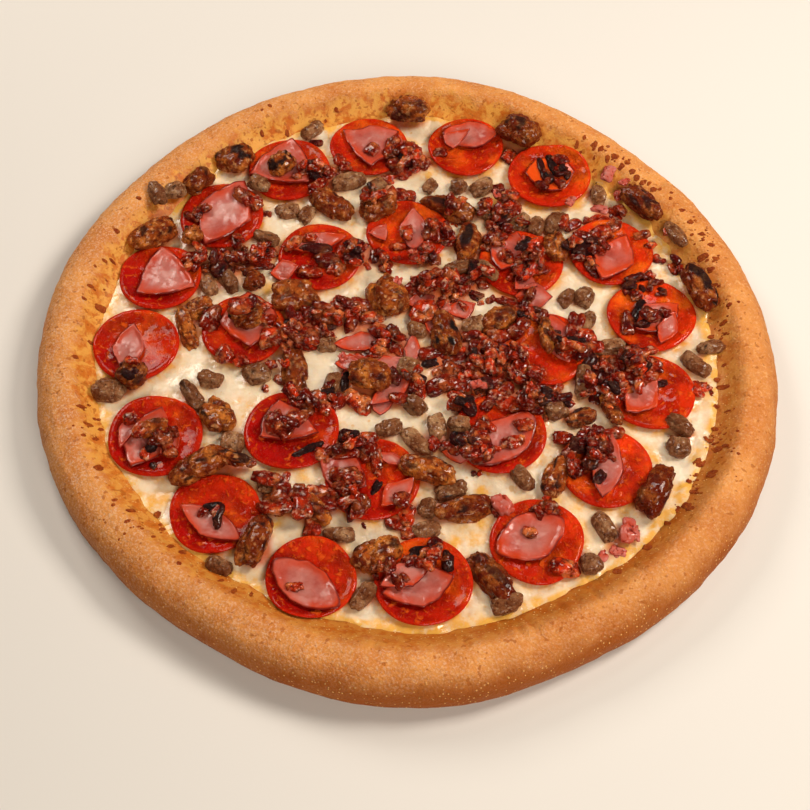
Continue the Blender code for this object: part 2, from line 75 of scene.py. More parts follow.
# Local bumps: direction and spread in degrees, height in mm
WIDTH_BUMPS = ((-95, 20, 3.5),)
OUTLINE_BUMPS = ((-88, 15, 1.7), (-118, 11, -1.3), (-66, 10, -1.2), (-155, 14, 1.7), (-30, 16, 1.0),
                 (50, 16, -1.3), (145, 16, -1.3))
CROWN_BUMPS = ((-95, 20, 1.2), (-60, 12, -0.8), (-20, 18, 0.8), (35, 15, -0.9), (80, 22, 0.9),
               (130, 14, -0.7), (170, 18, 0.8), (-140, 15, -0.8))
CRUST_SEGMENTS = 640
SIDE_RINGS = 44
SLOPE_RINGS = 18
SLOPE_END = 1.25  # how far the inner slope runs on under the cheese, in widths of the slope
SLOPE_TUCKED = 0.86  # from here on it dips under the cheese
SLOPE_DIP = 3.4 * MM
PUFF_SIZE = 24 * MM
PUFF_DEPTH = 0.55 * MM
WRINKLE_SIZE = 3 * MM
WRINKLE_DEPTH = 0.26 * MM
WRINKLE_STRETCH = 4.0  # along the rim
KNOB_SIZE = 6 * MM
KNOB_DEPTH = 0.26 * MM
TOASTED_SIDE = math.radians(285)  # where the rim's side is browned most
PLAIN_SIDE = math.radians(20)  # where it has the least flour
# Golden glaze on the inner slope, strongest here: partly baked cheese, partly painted light on the lit
# upper-left slope.
GOLDEN_AND_LIT_SIDE = math.radians(130)  # where its inner slope is most golden

# Cheese
CHEESE_LEVEL = 12.5 * MM
CHEESE_SWELL = 0.5 * MM
CHEESE_NET = 190  # squares across the cheese
CHEESE_TUCK = 8 * MM  # how far the cheese runs on under the rim's slope
CHEESE_CLIMB = 1.1 * MM  # up the sides of what lies in it
CHEESE_WAVES = 0.3 * MM
EDGE_LIFT = 0.9 * MM  # at its border
OIL_REACH = 2.6 * MM  # from a slice of pepperoni

# Thin grooves across the rim: from x, y to x, y and depth in mm
CREASES = (
    (50, -143, 57, -157, 1.4), (46, -146, 49, -156, 1.0), (63, -135, 68, -142, 1.2),
    (77, -127, 84, -140, 1.3), (71, -132, 74, -138, 0.9), (96, -117, 104, -128, 0.9),
    (22, -150, 26, -160, 0.8), (-12, -153, -13, -165, 0.8), (-40, -155, -46, -163, 1.0),
    (-70, -140, -78, -149, 0.8), (-104, -118, -113, -126, 0.8), (-134, -82, -145, -88, 0.7),
    (126, 92, 134, 101, 0.6), (-133, 96, -141, 103, 0.6), (120, -95, 128, -104, 0.8),
)

# Toppings
GAP = 0.3 * MM  # between one thing and the next
SLICE_THICKNESS = 1.9 * MM
SLICE_NET = 40
# Rings under a sheet of meat: their share of its outline and of its thickness
UNDERSIDE_RINGS = ((1.012, 0.4), (1.0, 0.08), (0.8, 0.0), (0.5, 0.0), (0.2, 0.0))
HAM_THICKNESS = 1.1 * MM
HAM_RIPPLE = 1.2 * MM
HAM_CURL = 2.6 * MM
HAM_NET = 32
# How far browned a piece of ham is over its whole face, by its number
HAM_BROWNED = {3: 2.0, 12: 0.1, 14: 0.5, 15: 0.5, 16: 0.5, 17: 0.3, 19: 0.15, 24: 0.3}
SCRAP_BROWNED = 0.2
LUMP_BELOW = 0.35  # share of a lump's height under its widest line
HEAP_TOP = 27.5 * MM  # no lump lies higher
SAUSAGE_FLATNESS = 0.66
BEEF_FLATNESS = 0.72
BACON_FLATNESS = 0.6
SPECK_HEIGHT = 0.28 * MM  # above the skin
GRID_STEP = 0.5 * MM
GRID_REACH = 172 * MM

# A lump is a cluster of balls that lie apart, with pebbly grains in mm on it and pits of a depth in mm
SAUSAGE_LOOK = {"balls": 8, "apart": 0.37, "seam": 0.08, "pebble": 2.8, "bend": 0.12, "depth": 0.6,
                "blunt": 0.85, "fill": 1.0, "char": 0.4}
BEEF_LOOK = {"balls": 5, "apart": 0.34, "seam": 0.06, "pebble": 2.6, "bend": 0.12, "depth": 0.4,
             "blunt": 0.75, "fill": 0.95, "char": 0.8}
CRUMB_LOOK = {"balls": 5, "apart": 0.47, "seam": 0.10, "pebble": 2.6, "bend": 0.14, "depth": 0.5,
              "blunt": 0.75, "fill": 0.98, "char": 0.5}
DICE_LOOK = {"balls": 5, "apart": 0.36, "seam": 0.08, "pebble": 3.2, "bend": 0.16, "depth": 0.7,
             "blunt": 0.75, "fill": 0.9, "char": 2.0}

# Pepperoni slices: x, y, radius and how far the rim turns up, in mm
PEPPERONI = (
    (-19.5, 128, 20.0, 1.5), (31.5, 127.5, 19.5, 2.0), (74, 106.5, 21.0, 2.4), (-60.5, 111.5, 21.0, 1.2),
    (-93.5, 80.5, 21.0, 1.2), (-121, 40.5, 20.0, 1.5), (-128.5, -1, 20.5, 1.5), (-114.5, -52, 21.5, 1.5),
    (-84.5, -92, 20.0, 1.0), (-41, -124, 19.5, 1.5), (7.5, -126, 21.0, 2.0), (57, -106, 20.5, 1.0),
    (90, -69, 20.5, 1.0), (114, -28, 20.5, 1.5), (118.5, 16.5, 21.0, 2.0), (102, 56.5, 20.5, 1.5),
    (-43, 53.5, 20.5, 1.0), (1, 69.5, 20.5, 1.0), (-78, 8.5, 20.0, 1.2), (-52.5, -48.5, 21.5, 1.0),
    (-15, -74.5, 21.0, 1.0), (43, -50.5, 21.0, 1.2), (67, -2.5, 20.5, 1.0), (57, 49.5, 20.5, 1.0),
)

# Pieces of ham: x, y, length, width in mm, turn in degrees, number of corners
HAM = (
    (-18, 129, 34, 33, -90, 3), (34, 134.5, 28, 18, 0, 2), (74.5, 107, 24, 24, 0, 6),
    (-63.5, 113.5, 37, 35, 78, 3), (-92, 81, 44, 28, 68, 4), (-118.5, 40.5, 36, 31, 100, 3),
    (-131.5, -4, 27, 15, 85, 4), (-118, -54.5, 33, 22, 70, 4), (-86, -98, 33, 14, -32, 4),
    (-43, -128, 35, 19, -38, 2), (5, -129, 31, 21, 15, 4), (54, -105, 33, 22, 30, 2),
    (90, -70, 34, 15, 78, 4), (109, -32, 24, 16, 48, 4), (121, 14.5, 26, 18, 35, 4),
    (103, 51.5, 30, 20, 62, 4), (-46, 61, 33, 13, 12, 4), (4, 69, 28, 15, 92, 4), (-75.5, 14, 35, 27, 95, 4),
    (-55, -46.5, 31, 25, -20, 3), (-28, -73, 25, 19, -35, 4), (44, -55, 37, 22, 38, 2),
    (73, 1.5, 29, 16, 105, 4), (51, 55, 25, 19, 70, 4), (-20, -15, 30, 19, -25, 3),
)
# Smaller scraps of ham that lie flat under the meat, given the same way
HAM_SCRAPS = (
    (-21, 2, 27, 12, 8, 4), (-11, -35, 13, 9, 30, 3), (3, -3, 18, 8, 85, 4), (27, 21, 14, 13, 20, 4),
    (-13, 67, 12, 11, 60, 3), (-4, -83, 20, 12, 45, 4), (-7, -65, 17, 6, -20, 4), (62, 28, 18, 14, 0, 4),
    (-60, 44, 14, 13, 10, 4), (-27, -11, 13, 11, 0, 4), (-7, -27, 25, 12, 40, 4), (-9, -12, 17, 12, 20, 4),
    (7, 26, 15, 10, 20, 4), (58, 36, 17, 13, 100, 3), (25, -62, 17, 9, -10, 4), (39, -1, 13, 9, 0, 4),
    (13, 13, 18, 9, 90, 4), (0, -124, 25, 13, 28, 4), (-127, -50, 21, 8, 78, 4), (-107, -58, 14, 9, 60, 4),
    (26, 131, 18, 11, 30, 3), (125, 7, 20, 10, 65, 4),
)

# Sausage lumps, loose and baked on: x, y, length, width in mm, turn in degrees
SAUSAGE = (
    (1, 150, 24, 16, -10), (60, 134, 22, 18, -30), (-126, 67, 26, 15, 35), (119.5, 84, 27, 13, -55),
    (143, 30, 27, 14, -70), (-92, -69, 26, 14, 30), (36, -122, 28, 13, -55), (110.5, -82, 28, 14, 60),
    (-65, -108, 25, 14, 75),
)
SAUSAGE_TONES = {2: 0.7, 4: 0.8, 5: 0.6, 7: 0.8, 8: 0.9}  # of the darker loose lumps, by number
BAKED_SAUSAGE = (
    (-88.5, 116.5, 20, 16, 15), (-107, 101, 17, 14, 60), (-108, 66, 12, 11, 0), (22, 85.5, 28, 13, -25),
    (-38, 87.5, 26, 14, -40), (-15, 84, 20, 16, 20), (31, 62, 24, 13, 75), (-54, 28, 24, 16, 10),
    (-74.5, 38, 12, 11, 0), (-105.5, 10, 26, 9, -75), (19, 5, 24, 14, 100), (-18, -19.5, 22, 15, -20),
    (-53, -14, 25, 12, -75), (-87, -40.5, 20, 15, -45), (-13, -113, 22, 16, 45), (9, -69.5, 25, 14, -20),
    (25, -90.5, 24, 13, 10), (67, -73.5, 22, 11, 75), (45, 13, 20, 14, 45), (67, 3, 19, 9, 100),
    (-9, 28, 26, 17, -60), (75, 58, 20, 10, 100), (-101, 21, 15, 12, 30), (95, -38, 18, 8, -70),
    (-76, 14, 17, 13, 20), (-64, 112, 16, 14, 40), (-56, -88, 14, 12, 0), (-41, -90, 20, 11, -40),
    (-78, -67, 17, 8, -20), (-128, -21, 15, 13, 50), (-116, -50, 16, 9, 20), (80, -42, 16, 9, 15),
)

# Pellets of ground beef, given as the sausage
BEEF = (
    (-50, 140, 14, 9, 45), (-126, 88, 16, 8, -65), (-118, 92.5, 12, 10, 20), (-76, 99.5, 14, 8, -25),
    (-60, 84, 13, 9, 10), (-70, 66, 15, 8, -25), (-30, 102.5, 18, 10, 15), (-14.5, 100, 12, 9, 45),
    (12, 101.5, 10, 7, 60), (27, 100.5, 10, 9, 0), (39, 100, 14, 9, 30), (98, 94, 14, 9, 100),
    (57.5, 76, 14, 9, 60), (66, 74, 14, 9, 75), (75, 76, 15, 9, 60), (40, 85, 13, 9, 80),
    (-50, 81, 13, 7, 60), (-88, 40, 16, 9, -60), (-96.5, 35, 13, 8, -60), (-91, -21, 13, 9, -15),
    (-71, -18, 14, 10, 15), (-101, -28, 19, 8, -55), (-138.5, -28, 16, 12, -10), (-79, -55.5, 14, 10, 80),
    (-61, -78.5, 12, 9, 0), (-80, -118, 12, 9, -20), (-29, -103, 14, 8, 0), (-18, -133, 14, 9, 60),
    (9, -100, 13, 9, 20), (9, -89, 10, 9, 0), (20, -80, 18, 8, 20), (44, -136.5, 15, 9, 10),
    (52, -74.5, 14, 9, -55), (79, -117, 11, 10, 0), (87, -99, 17, 9, -60), (127, -47.5, 16, 9, -40),
    (124, -57.5, 11, 11, 0), (137, -12, 16, 10, -40), (4, -35, 14, 9, -45), (14, -46.5, 14, 9, -75),
    (5, -53.5, 17, 9, -45), (-8, -47.5, 13, 9, 10), (25, -46.5, 12, 9, 0), (-35, -23, 15, 8, 75),
    (5.5, 8, 10, 8, 0), (1, -14, 13, 9, -15), (33, 11, 12, 10, 0), (26.5, 47, 15, 8, 10),
    (40, 43, 16, 7, -50), (83, -22.5, 18, 9, 85), (87, 13, 13, 9, 60), (98, -1, 18, 9, 5),
    (78, 29, 12, 8, 60), (87, 28, 13, 9, 70), (70, -38, 12, 9, 20), (134, 63, 18, 8, -60), (-38, 1, 10, 9, 0),
    (145, -3, 14, 8, 20),
)

# Heaps of large bacon crumbs: x, y, spread in mm and number of crumbs
BACON_HEAPS = (
    (0, 117, 7, 2), (-45, 104, 6, 1), (-73, 57, 8, 2), (-90, 52, 5, 1), (-50, 6, 12, 3), (-28, 17, 9, 2),
    (-45, -32, 9, 1), (-113, -57, 8, 1), (-22, -84, 8, 2), (-27, -58, 5, 1), (8, -113, 6, 1), (18, 36, 13, 3),
    (-9, 50, 5, 1), (18, 66, 7, 1), (44, 73, 9, 2), (64, 46, 9, 2), (92, 55, 8, 1), (97, -18, 15, 4),
    (44, -15, 15, 3), (31, -59, 8, 1), (55, -30, 9, 1), (82, -58, 9, 2), (114, 29, 6, 1), (103, 82, 7, 1),
    (42, -88, 3, 1), (98, -101, 3, 1), (128, 50, 6, 1),
)
CRUMB_LENGTHS = (6.5, 9.5)  # mm, from and to
CRUMB_WIDTHS = (4.5, 6.5)
BITS_MORE = 1.3  # bits for each one counted below
CLUMP = 4  # bits that cling together
CLUMP_SPREAD = 2.6  # mm

# Bacon pieces: x, y, length, width in mm, turn in degrees, and shade from orange at 0 to charred at 1
BACON_PIECES = (
    (8, 19.5, 15, 12, 80, 0.25), (31, 5, 10, 8, 20, 0.8), (33, -3.5, 11, 9, 80, 0.85),
    (12, -5, 13, 9, 0, 0.75), (12, -11, 8, 6, 0, 1), (22, -8, 14, 7, 0, 0.85), (33, -12, 14, 7, -15, 0.3),
    (17, -16, 13, 7, 30, 0.3), (18, -24, 15, 10, 20, 0.75), (26, -23, 12, 8, 60, 0.7),
    (6, -24.5, 13, 8, 100, 0.2), (24, -15, 12, 8, -20, 0.8), (32, -18, 10, 7, 0, 0.65),
    (41, -13, 9, 7, 60, 0.5), (45, -19, 12, 8, 0, 0.6), (38, -22, 11, 7, 80, 0.9), (46, -27, 11, 8, 30, 0.8),
    (33, -31, 11, 6, 95, 0.2), (22, -35, 9, 6, 80, 0.35), (29, -37, 10, 7, 90, 0.95),
    (44, -33, 14, 8, -40, 0.4), (53, -36, 12, 9, 0, 0.65), (60, -38, 7, 6, 0, 0.9), (56, -28, 12, 6, 20, 0.4),
    (42, -6, 10, 8, 0, 0.65), (52, -5, 12, 9, 30, 0.55), (55, -17, 12, 10, 90, 0.35), (49, -13, 8, 6, 0, 0.4),
    (43, 4, 12, 8, 10, 0.6), (38, 2, 9, 4, -50, 0.1), (40, -3, 8, 6, 60, 0.15), (54, 7, 12, 9, 60, 0.8),
    (54, 19, 13, 9, 60, 0.7), (50, 26, 14, 6, -30, 0.75), (58, 26, 8, 6, 40, 0.3), (6, 33, 14, 12, 45, 0.7),
    (12, 37, 10, 8, 60, 0.55), (15, 43, 10, 7, 120, 0.35), (20, 33, 12, 7, 95, 0.3), (20, 27, 9, 6, 30, 0.2),
    (18, 23, 10, 5, 100, 0.4), (26, 37, 12, 9, 90, 0.6), (31, 38, 10, 7, 80, 0.7), (35, 44, 12, 8, 90, 0.95),
    (27, 32, 10, 6, 0, 0.75), (38, 37, 9, 7, 0, 0.5), (14, 53, 9, 7, 90, 0.8), (16, 68, 14, 10, 20, 0.75),
    (12, 71, 9, 7, 0, 0.8), (20, 63, 11, 6, 0, 0.6), (12, 61, 10, 6, 90, 0.4), (0, 66, 10, 7, 90, 0.25),
    (-4, 60, 8, 6, 0, 0.55), (43, 68, 11, 8, 60, 0.85), (45, 75, 9, 8, 0, 0.35), (50, 72, 8, 6, 80, 0.6),
    (41, 61, 9, 6, 50, 0.7), (52, 67, 8, 6, 0, 0.25), (49, 50, 10, 7, 90, 0.55), (60, 51, 13, 9, 20, 0.55),
    (57, 45, 11, 8, 0, 0.7), (65, 53, 9, 7, 60, 0.5), (67, 45, 9, 7, 0, 0.65), (63, 60, 9, 6, 40, 0.45),
    (80, 5, 12, 8, 80, 0.8), (82, 13, 12, 8, 80, 0.8), (86, 4, 9, 8, 0, 0.15), (84, -6, 14, 9, 50, 0.9),
    (88, -12, 12, 9, 60, 0.95), (92, -20, 12, 9, 90, 0.9), (98, -8, 11, 7, 0, 0.35),
    (102, -13, 12, 9, 0, 0.85), (98, -18, 10, 7, 0, 0.6), (106, -22, 14, 10, 0, 0.75),
    (101, -27, 13, 7, 10, 0.5), (110, -15, 12, 8, 20, 0.55), (113, -21, 9, 7, 0, 0.6),
    (118, -14, 12, 6, -30, 0.6), (119, -23, 8, 4, 0, 0.95), (94, -33, 11, 9, 90, 0.15),
    (88, -31, 9, 6, 60, 0.8), (70, -25, 9, 7, 60, 0.6), (63, -26, 11, 7, 0, 0.55), (74, -33, 12, 7, 30, 0.35),
    (62, -33, 10, 7, 0, 0.35), (90, -3, 8, 6, 0, 0.5), (32, -63, 17, 12, 20, 0.8), (34, -57, 9, 7, 0, 0.5),
    (20, -58, 12, 7, -20, 0.65), (13, -56, 8, 6, 60, 0.55), (33, -51, 10, 7, 60, 0.75),
    (24, -53, 9, 7, 60, 0.95), (48, -57, 12, 7, 10, 0.4), (54, -48, 9, 7, 0, 0.5), (38, -47, 10, 6, -60, 0.3),
    (-2, -87, 9, 8, 0, 0.6), (0, -93, 10, 8, 60, 0.25), (-5, -97, 9, 7, 0, 0.7), (2, -102, 10, 7, 0, 0.5),
    (-26, -51, 9, 7, 0, 0.95), (-18, -54, 10, 7, 20, 0.3), (-29, -62, 15, 9, 10, 0.7),
    (-24, -59, 9, 6, 0, 0.95), (-17, -62, 10, 8, 90, 0.8), (-13, -66, 18, 6, 100, 0.45),
    (-38, -64, 10, 6, 100, 0.5), (-45, -60, 14, 4, 30, 1), (-13, -79, 9, 4, 60, 1), (-28, -74, 12, 9, 0, 0.5),
    (-24, -78, 11, 8, 60, 0.55), (-26, -85, 12, 8, 60, 0.6), (-20, -87, 9, 7, 0, 0.85),
    (-38, -83, 14, 9, -20, 0.45), (-33, -88, 9, 7, 0, 0.6), (-46, -90, 14, 10, 90, 0.4),
    (-48, -84, 8, 7, 0, 0.6), (-55, -85, 10, 9, 0, 0.75), (-57, -91, 15, 8, 0, 0.5),
    (-54, -75, 10, 5, 80, 0.5), (-61, -77, 14, 8, -20, 0.4), (-40, -91, 10, 4, -40, 0.9),
    (-41, -98, 12, 8, 80, 0.5), (-70, -68, 6, 5, 0, 0.7), (-61, -47, 12, 8, 90, 0.45),
    (-55, -51, 9, 7, 60, 0.6), (-51, -44, 12, 9, 60, 0.4), (-94, 13, 15, 9, 80, 0.75),
    (-90, 47, 13, 11, 60, 0.92), (-92, 55, 10, 8, 60, 0.45), (-75, 50, 18, 7, 5, 0.65),
    (-81, 54, 8, 6, 0, 0.8), (-73, 57, 10, 8, 0, 0.35), (-105, 52, 12, 9, 60, 0.45),
    (-78, 15, 14, 9, 10, 0.6), (-74, 17, 9, 6, 80, 0.9), (-70, 21, 11, 6, -40, 0.35), (-66, 13, 9, 6, 0, 0.6),
    (-64, 2, 13, 10, 80, 0.15), (-55, 13, 12, 8, 20, 0.95), (-50, 8, 10, 8, 0, 0.6), (-44, 7, 9, 8, 0, 0.7),
    (-48, 1, 12, 8, 0, 0.65), (-58, 5, 10, 8, 60, 0.6), (-40, 17, 14, 11, 0, 0.7), (-47, 19, 9, 7, 0, 0.4),
    (-34, 16, 10, 8, 90, 0.6), (-32, 24, 11, 7, -60, 0.2), (-26, 13, 13, 8, 80, 0.7),
    (-18, 15.5, 14, 8, 20, 0.25), (-10, 7, 13, 9, -30, 0.35), (-17, -5, 10, 6, 5, 0.3),
    (-5, -3, 9, 7, 90, 0.6), (-22, 25, 10, 8, 0, 0.6), (-22, -33, 15, 11, -50, 0.15),
    (-29, -20, 12, 4, 90, 1), (-33, -33, 12, 8, 60, 0.75), (-44, -32, 10, 7, 60, 0.5),
    (-48, -38, 10, 8, 0, 0.8), (-4, -33, 9, 7, 0, 0.6), (-85, -7, 10, 8, 60, 0.5), (-78, -11, 8, 6, 0, 0.4),
    (-52, -29, 12, 8, -50, 0.7), (-44, 56, 15, 6, 5, 0.94), (-38, 50, 14, 9, 10, 0.9),
    (-47, 43, 12, 8, 0, 0.55), (-35, 44, 10, 7, 60, 0.5), (-30, 58, 12, 8, 60, 0.5), (-26, 51, 9, 7, 0, 0.6),
    (-56, 60, 12, 7, 60, 0.35), (-48, 63, 8, 6, 0, 0.5), (-47.5, 131, 7, 6, 0, 0.9), (-47, 107, 8, 7, 0, 0.9),
    (-42, 106, 10, 8, 30, 0.75), (-38, 111, 8, 6, 0, 0.45), (-31, 113, 8, 6, 0, 0.5),
    (-44, 99, 12, 8, 60, 0.4), (-47, 94, 8, 6, 0, 0.6), (-34, 118, 8, 6, 60, 0.6), (-84, 90, 14, 8, -50, 0.6),
    (-77, 88, 10, 8, -60, 0.6), (-53, 110, 11, 6, 100, 0.6), (-71, 82, 6, 5, 0, 0.7),
    (-4, 116, 14, 11, 60, 0.8), (0, 123, 12, 9, 40, 0.75), (6, 122, 11, 8, 60, 0.55),
    (-9, 124, 12, 6, 80, 0.6), (-1, 110, 10, 8, 0, 0.6), (5, 115, 8, 6, 60, 0.5), (-18, 122, 9, 7, 60, 0.6),
    (11, 117, 10, 7, 60, 0.35), (18, 122, 8, 6, 0, 0.8), (-9, 106, 8, 7, 0, 0.3), (-10, 95, 13, 7, -30, 0.55),
    (-3, 96, 10, 8, 0, 0.7), (2, 94, 8, 6, 90, 0.6), (-7, 89, 13, 6, 80, 0.3), (47, 101, 9, 6, 10, 0.85),
    (51, 92, 12, 9, 80, 0.2), (55, 85, 12, 8, 70, 0.7), (45, 81, 10, 7, 0, 0.4), (50, 80, 10, 7, 60, 0.7),
    (55, 122, 9, 8, 60, 0.35), (107, 83, 10, 7, 0, 0.4), (92, 78, 5, 5, 0, 0.6), (84, 74, 10, 7, 30, 0.6),
    (79, 75, 9, 6, 80, 0.5), (90, 57, 16, 11, 0, 0.95), (89, 65, 10, 7, 0, 0.75), (98, 68, 12, 8, 0, 0.5),
    (97, 57, 9, 7, 60, 0.45), (80, 57, 8, 7, 60, 0.95), (100, 78, 12, 7, -20, 0.4),
    (104, 72, 10, 6, 40, 0.55), (80, -57, 13, 11, 0, 0.95), (74, -61, 10, 8, 60, 0.75),
    (86, -53, 9, 7, 0, 0.6), (94, -52, 10, 6, 20, 0.6), (84, -66, 11, 8, 60, 0.8), (76, -68, 12, 8, -50, 0.8),
    (86, -76, 9, 5, 60, 0.95), (71, -53, 10, 7, 0, 0.7), (62, -90, 8, 6, 20, 0.55), (-86, -91, 9, 5, 20, 1),
    (76, 112, 14, 5, 100, 1), (70, 108, 16, 4, 95, 0.95), (80, 116, 10, 6, 0, 0.8), (112, 18, 16, 6, 60, 1),
    (107, 12, 14, 7, 80, 0.85), (-112, -56, 11, 8, 0, 0.7), (-120, -53, 9, 7, 60, 0.55),
    (-107, -62, 9, 7, 0, 0.6), (-125, -45, 8, 6, 0, 0.55), (54, -103, 7, 6.5, 0, 0.4),
    (70, -120, 14, 9, -10, 0.1), (-47, -129, 7, 5, 0, 0.3), (6, -113, 12, 7, 10, 1),
    (12, -109, 8, 5, 60, 0.9), (-10, -120, 9, 7, 0, 0.6), (1, -118, 8, 5, 30, 0.8),
)
# Small bacon bits: x, y, spread in x and y in mm, number, and how charred they are
BACON_BITS = (
    (1, 117, 9, 8, 10, 0.5), (-45, 105, 9, 7, 8, 0.4), (-105, 49, 7, 7, 7, 0.3), (-75, 57, 9, 8, 9, 0.3),
    (-90, 52, 6, 6, 6, 0.8), (-50, 7, 14, 9, 15, 0.3), (-30, 17, 10, 8, 9, 0.4), (-45, -33, 10, 9, 10, 0.4),
    (-58, -53, 7, 6, 5, 0.3), (-113, -60, 9, 8, 8, 0.7), (-128, -21, 7, 6, 5, 0.5), (-25, -88, 9, 9, 10, 0.4),
    (-27, -60, 6, 5, 5, 0.9), (8, -115, 7, 5, 7, 0.9), (-8, -122, 6, 5, 5, 0.6), (22, 34, 23, 10, 26, 0.3),
    (-8, 52, 7, 6, 6, 0.4), (18, 67, 7, 6, 6, 0.6), (-25, 52, 7, 6, 6, 0.3), (-30, 59, 6, 5, 5, 0.4),
    (49, 75, 10, 16, 17, 0.3), (63, 46, 12, 13, 18, 0.4), (90, 52, 8, 8, 9, 0.8), (97, -20, 18, 13, 34, 0.6),
    (43, -18, 18, 13, 28, 0.35), (30, -33, 8, 6, 7, 0.4), (31, -61, 11, 9, 9, 0.4), (50, -38, 8, 6, 6, 0.4),
    (70, -33, 8, 6, 7, 0.4), (83, -67, 11, 15, 17, 0.6), (115, 27, 10, 9, 9, 0.4), (120, 42, 4, 4, 3, 0.2),
    (133, 47, 4, 4, 4, 0.2), (125, 61, 4, 4, 3, 0.2), (4, -25, 12, 8, 8, 0.3), (-9, 4, 14, 8, 9, 0.25),
    (-60, -18, 6, 9, 5, 0.3), (60, 20, 10, 7, 9, 0.4), (12, 52, 8, 6, 7, 0.3), (-105, 83, 7, 6, 5, 0.3),
    (30, 84, 9, 7, 7, 0.3), (-20, 93, 10, 6, 6, 0.3), (75, -5, 9, 8, 10, 0.5), (140, -28, 4, 5, 4, 0.5),
    (75, 106, 6, 6, 8, 0.95), (120, 17, 8, 5, 8, 0.95), (-86, -94, 3, 3, 2, 0.9), (62, -90, 6, 5, 5, 0.3),
)
# Dice of pink ham among the meat: x, y and size in mm
PINK_DICE = (
    (99, 86, 11), (104, 105, 13), (109, 94, 9), (43, -88, 14), (98, -102, 13), (92, -111, 9), (112, 99, 8),
    (84, 88, 8), (46, 92, 7), (60, 61, 8), (-4, 34, 7), (34, -26, 8), (18, 20, 7), (-30, -8, 7),
    (86, -112, 8),
)

# Toasted specks on the rim: x, y and size in mm
TOASTED_SPECKS = (
    (-76, 135, 3), (-63, 138, 3), (-72, 150, 4), (-135, 85, 3), (-144, 64, 3), (-145, 48, 3), (-153, 30, 3),
    (-155, 22, 3), (-148, 21, 6), (-149, -39, 4), (-145, -48, 4), (-140, -48, 3), (-141, -55, 3),
    (-137, -72, 4), (-128, -89, 3), (-121, -93, 4), (-121, -100, 3), (-110, -92, 4), (-107, -100, 3),
    (-102, -110, 5), (-97, -112, 4), (-97, -120, 3), (-79, -126, 3), (-73, -132, 4), (-66, -132, 3),
    (-37, 152, 3), (89, 124, 4), (98, 122, 5), (101, 119, 4), (108, 114, 5), (114, 110, 4), (116, 104, 4),
    (118, 100, 4), (129, 92, 3), (135, 90, 3), (150, -13, 3), (148, -25, 5), (148, -40, 3), (142, -48, 4),
    (139, -54, 4), (144, -60, 3), (128, -68, 5), (132, -66, 4), (127, -75, 3), (136, -75, 4), (129, -82, 3),
    (119, -90, 4), (125, -91, 4), (105, -109, 5), (91, -121, 4), (146, 5, 3), (152, 10, 3), (155, 18, 3),
    (140, 2, 3), (134, 86, 3), (137, -73, 5), (127, -68, 7), (141, -60, 5), (133, -65, 6), (128, -81, 4),
    (124, -88, 5), (120, -88, 4), (115, -97, 4), (149, 40, 4), (146, 48, 5), (151, 55, 4), (147, 62, 4),
    (142, 70, 4), (149, 31, 4), (139, 78, 4), (121, 97, 5), (126, 92, 4), (111, 108, 4), (104, 113, 4),
    (152, 46, 4), (144, -35, 4), (146, -20, 4), (124, 96, 3), (93, 127, 3), (105, 121, 3), (-155, -12, 3),
    (-150, 0, 3),
)
# Clouds of pepper-fine specks on the rim: x, y, spread in x and y in mm, number
FINE_SPECKS = (
    (148, 60, 4.8, 15.6, 55), (150, 12, 3.6, 7.2, 17), (143, -55, 4.8, 7.8, 28), (128, -76, 4.8, 5.4, 22),
    (106, 113, 9.6, 6.6, 30), (-146, -48, 3.6, 8.4, 12), (-118, -98, 9.6, 7.2, 20), (-150, 30, 3, 13.2, 6),
    (-60, 148, 18, 3, 5), (60, 146, 15.6, 3, 5),
)
# Browned spots on the cheese: x, y and radius in mm
CHEESE_SPOTS = (
    (34, -79, 3), (22, -104, 2.5), (30, -103, 3), (25, -98, 2.5), (33, -96, 2.5), (61, -63, 3),
    (75, -90, 2.5), (77, -97, 2.5), (113, -63, 3), (97, -91, 3), (87, 88, 3), (43, 112, 2.5), (13, 112, 2.5),
    (3, 132, 3), (45, 92, 3), (-57, -97, 3), (-61, -72, 3), (-46, -73, 3), (-67, 35, 4), (-104, -84, 5),
    (-96, -78, 3), (19, -116, 3), (66, -85, 3),
)
# Drops of orange oil on the cheese: x, y and radius in mm
OIL_DROPS = (
    (12, 109, 5), (3, 130, 4), (36, 107, 5), (45, 90, 5), (-73, -34, 4), (-79, -31, 3), (-107, -85, 5),
    (-113, -85, 6), (35, -80, 4), (21, -106, 4), (29, -104, 4), (110, -58, 4), (127, 44, 4), (133, -15, 4),
    (145, 9, 5), (-100, -75, 5), (63, 86, 4), (-27, 76, 4), (-64, -4, 5), (-35, 26, 4), (5, -62, 4),
    (88, -8, 5),
)

# Noise and small sums

noise_draw = np.random.default_rng(3)
NOISE_ORDER = noise_draw.permutation(256)
NOISE_SLOPES = noise_draw.normal(size=(256, 3))
NOISE_SLOPES /= np.linalg.norm(NOISE_SLOPES, axis=1, keepdims=True)


def soft_noise(points, size, seed=0):
    """Smooth noise from about -1 to 1 at each point, with features of the given size."""
    spot = points / size + seed * np.array((17.31, 5.73, 9.17))
    cell = np.floor(spot).astype(int)
    part = spot - cell
    ease = part**3 * (part * (part * 6 - 15) + 10)
    total = np.zeros(len(spot))
    for corner in np.ndindex(2, 2, 2):
        a, b, c = ((cell + corner) & 255).T
        slope = NOISE_SLOPES[NOISE_ORDER[(NOISE_ORDER[(NOISE_ORDER[a] + b) & 255] + c) & 255]]
        weight = np.prod(np.where(corner, ease, 1 - ease), axis=1)
        total += weight * np.einsum("ij,ij->i", slope, part - corner)
    return 1.6 * total


def rough_noise(points, size, octaves, seed=0):
    """Soft noise with finer and weaker noise added."""
    total = np.zeros(len(points))
    for octave in range(octaves):
        total += soft_noise(points, size / 2**octave, seed + 7 * octave) / 2**octave
    return total


def plan_points(x, y):
    return np.stack([x, y, 0 * x], axis=-1).reshape(-1, 3)


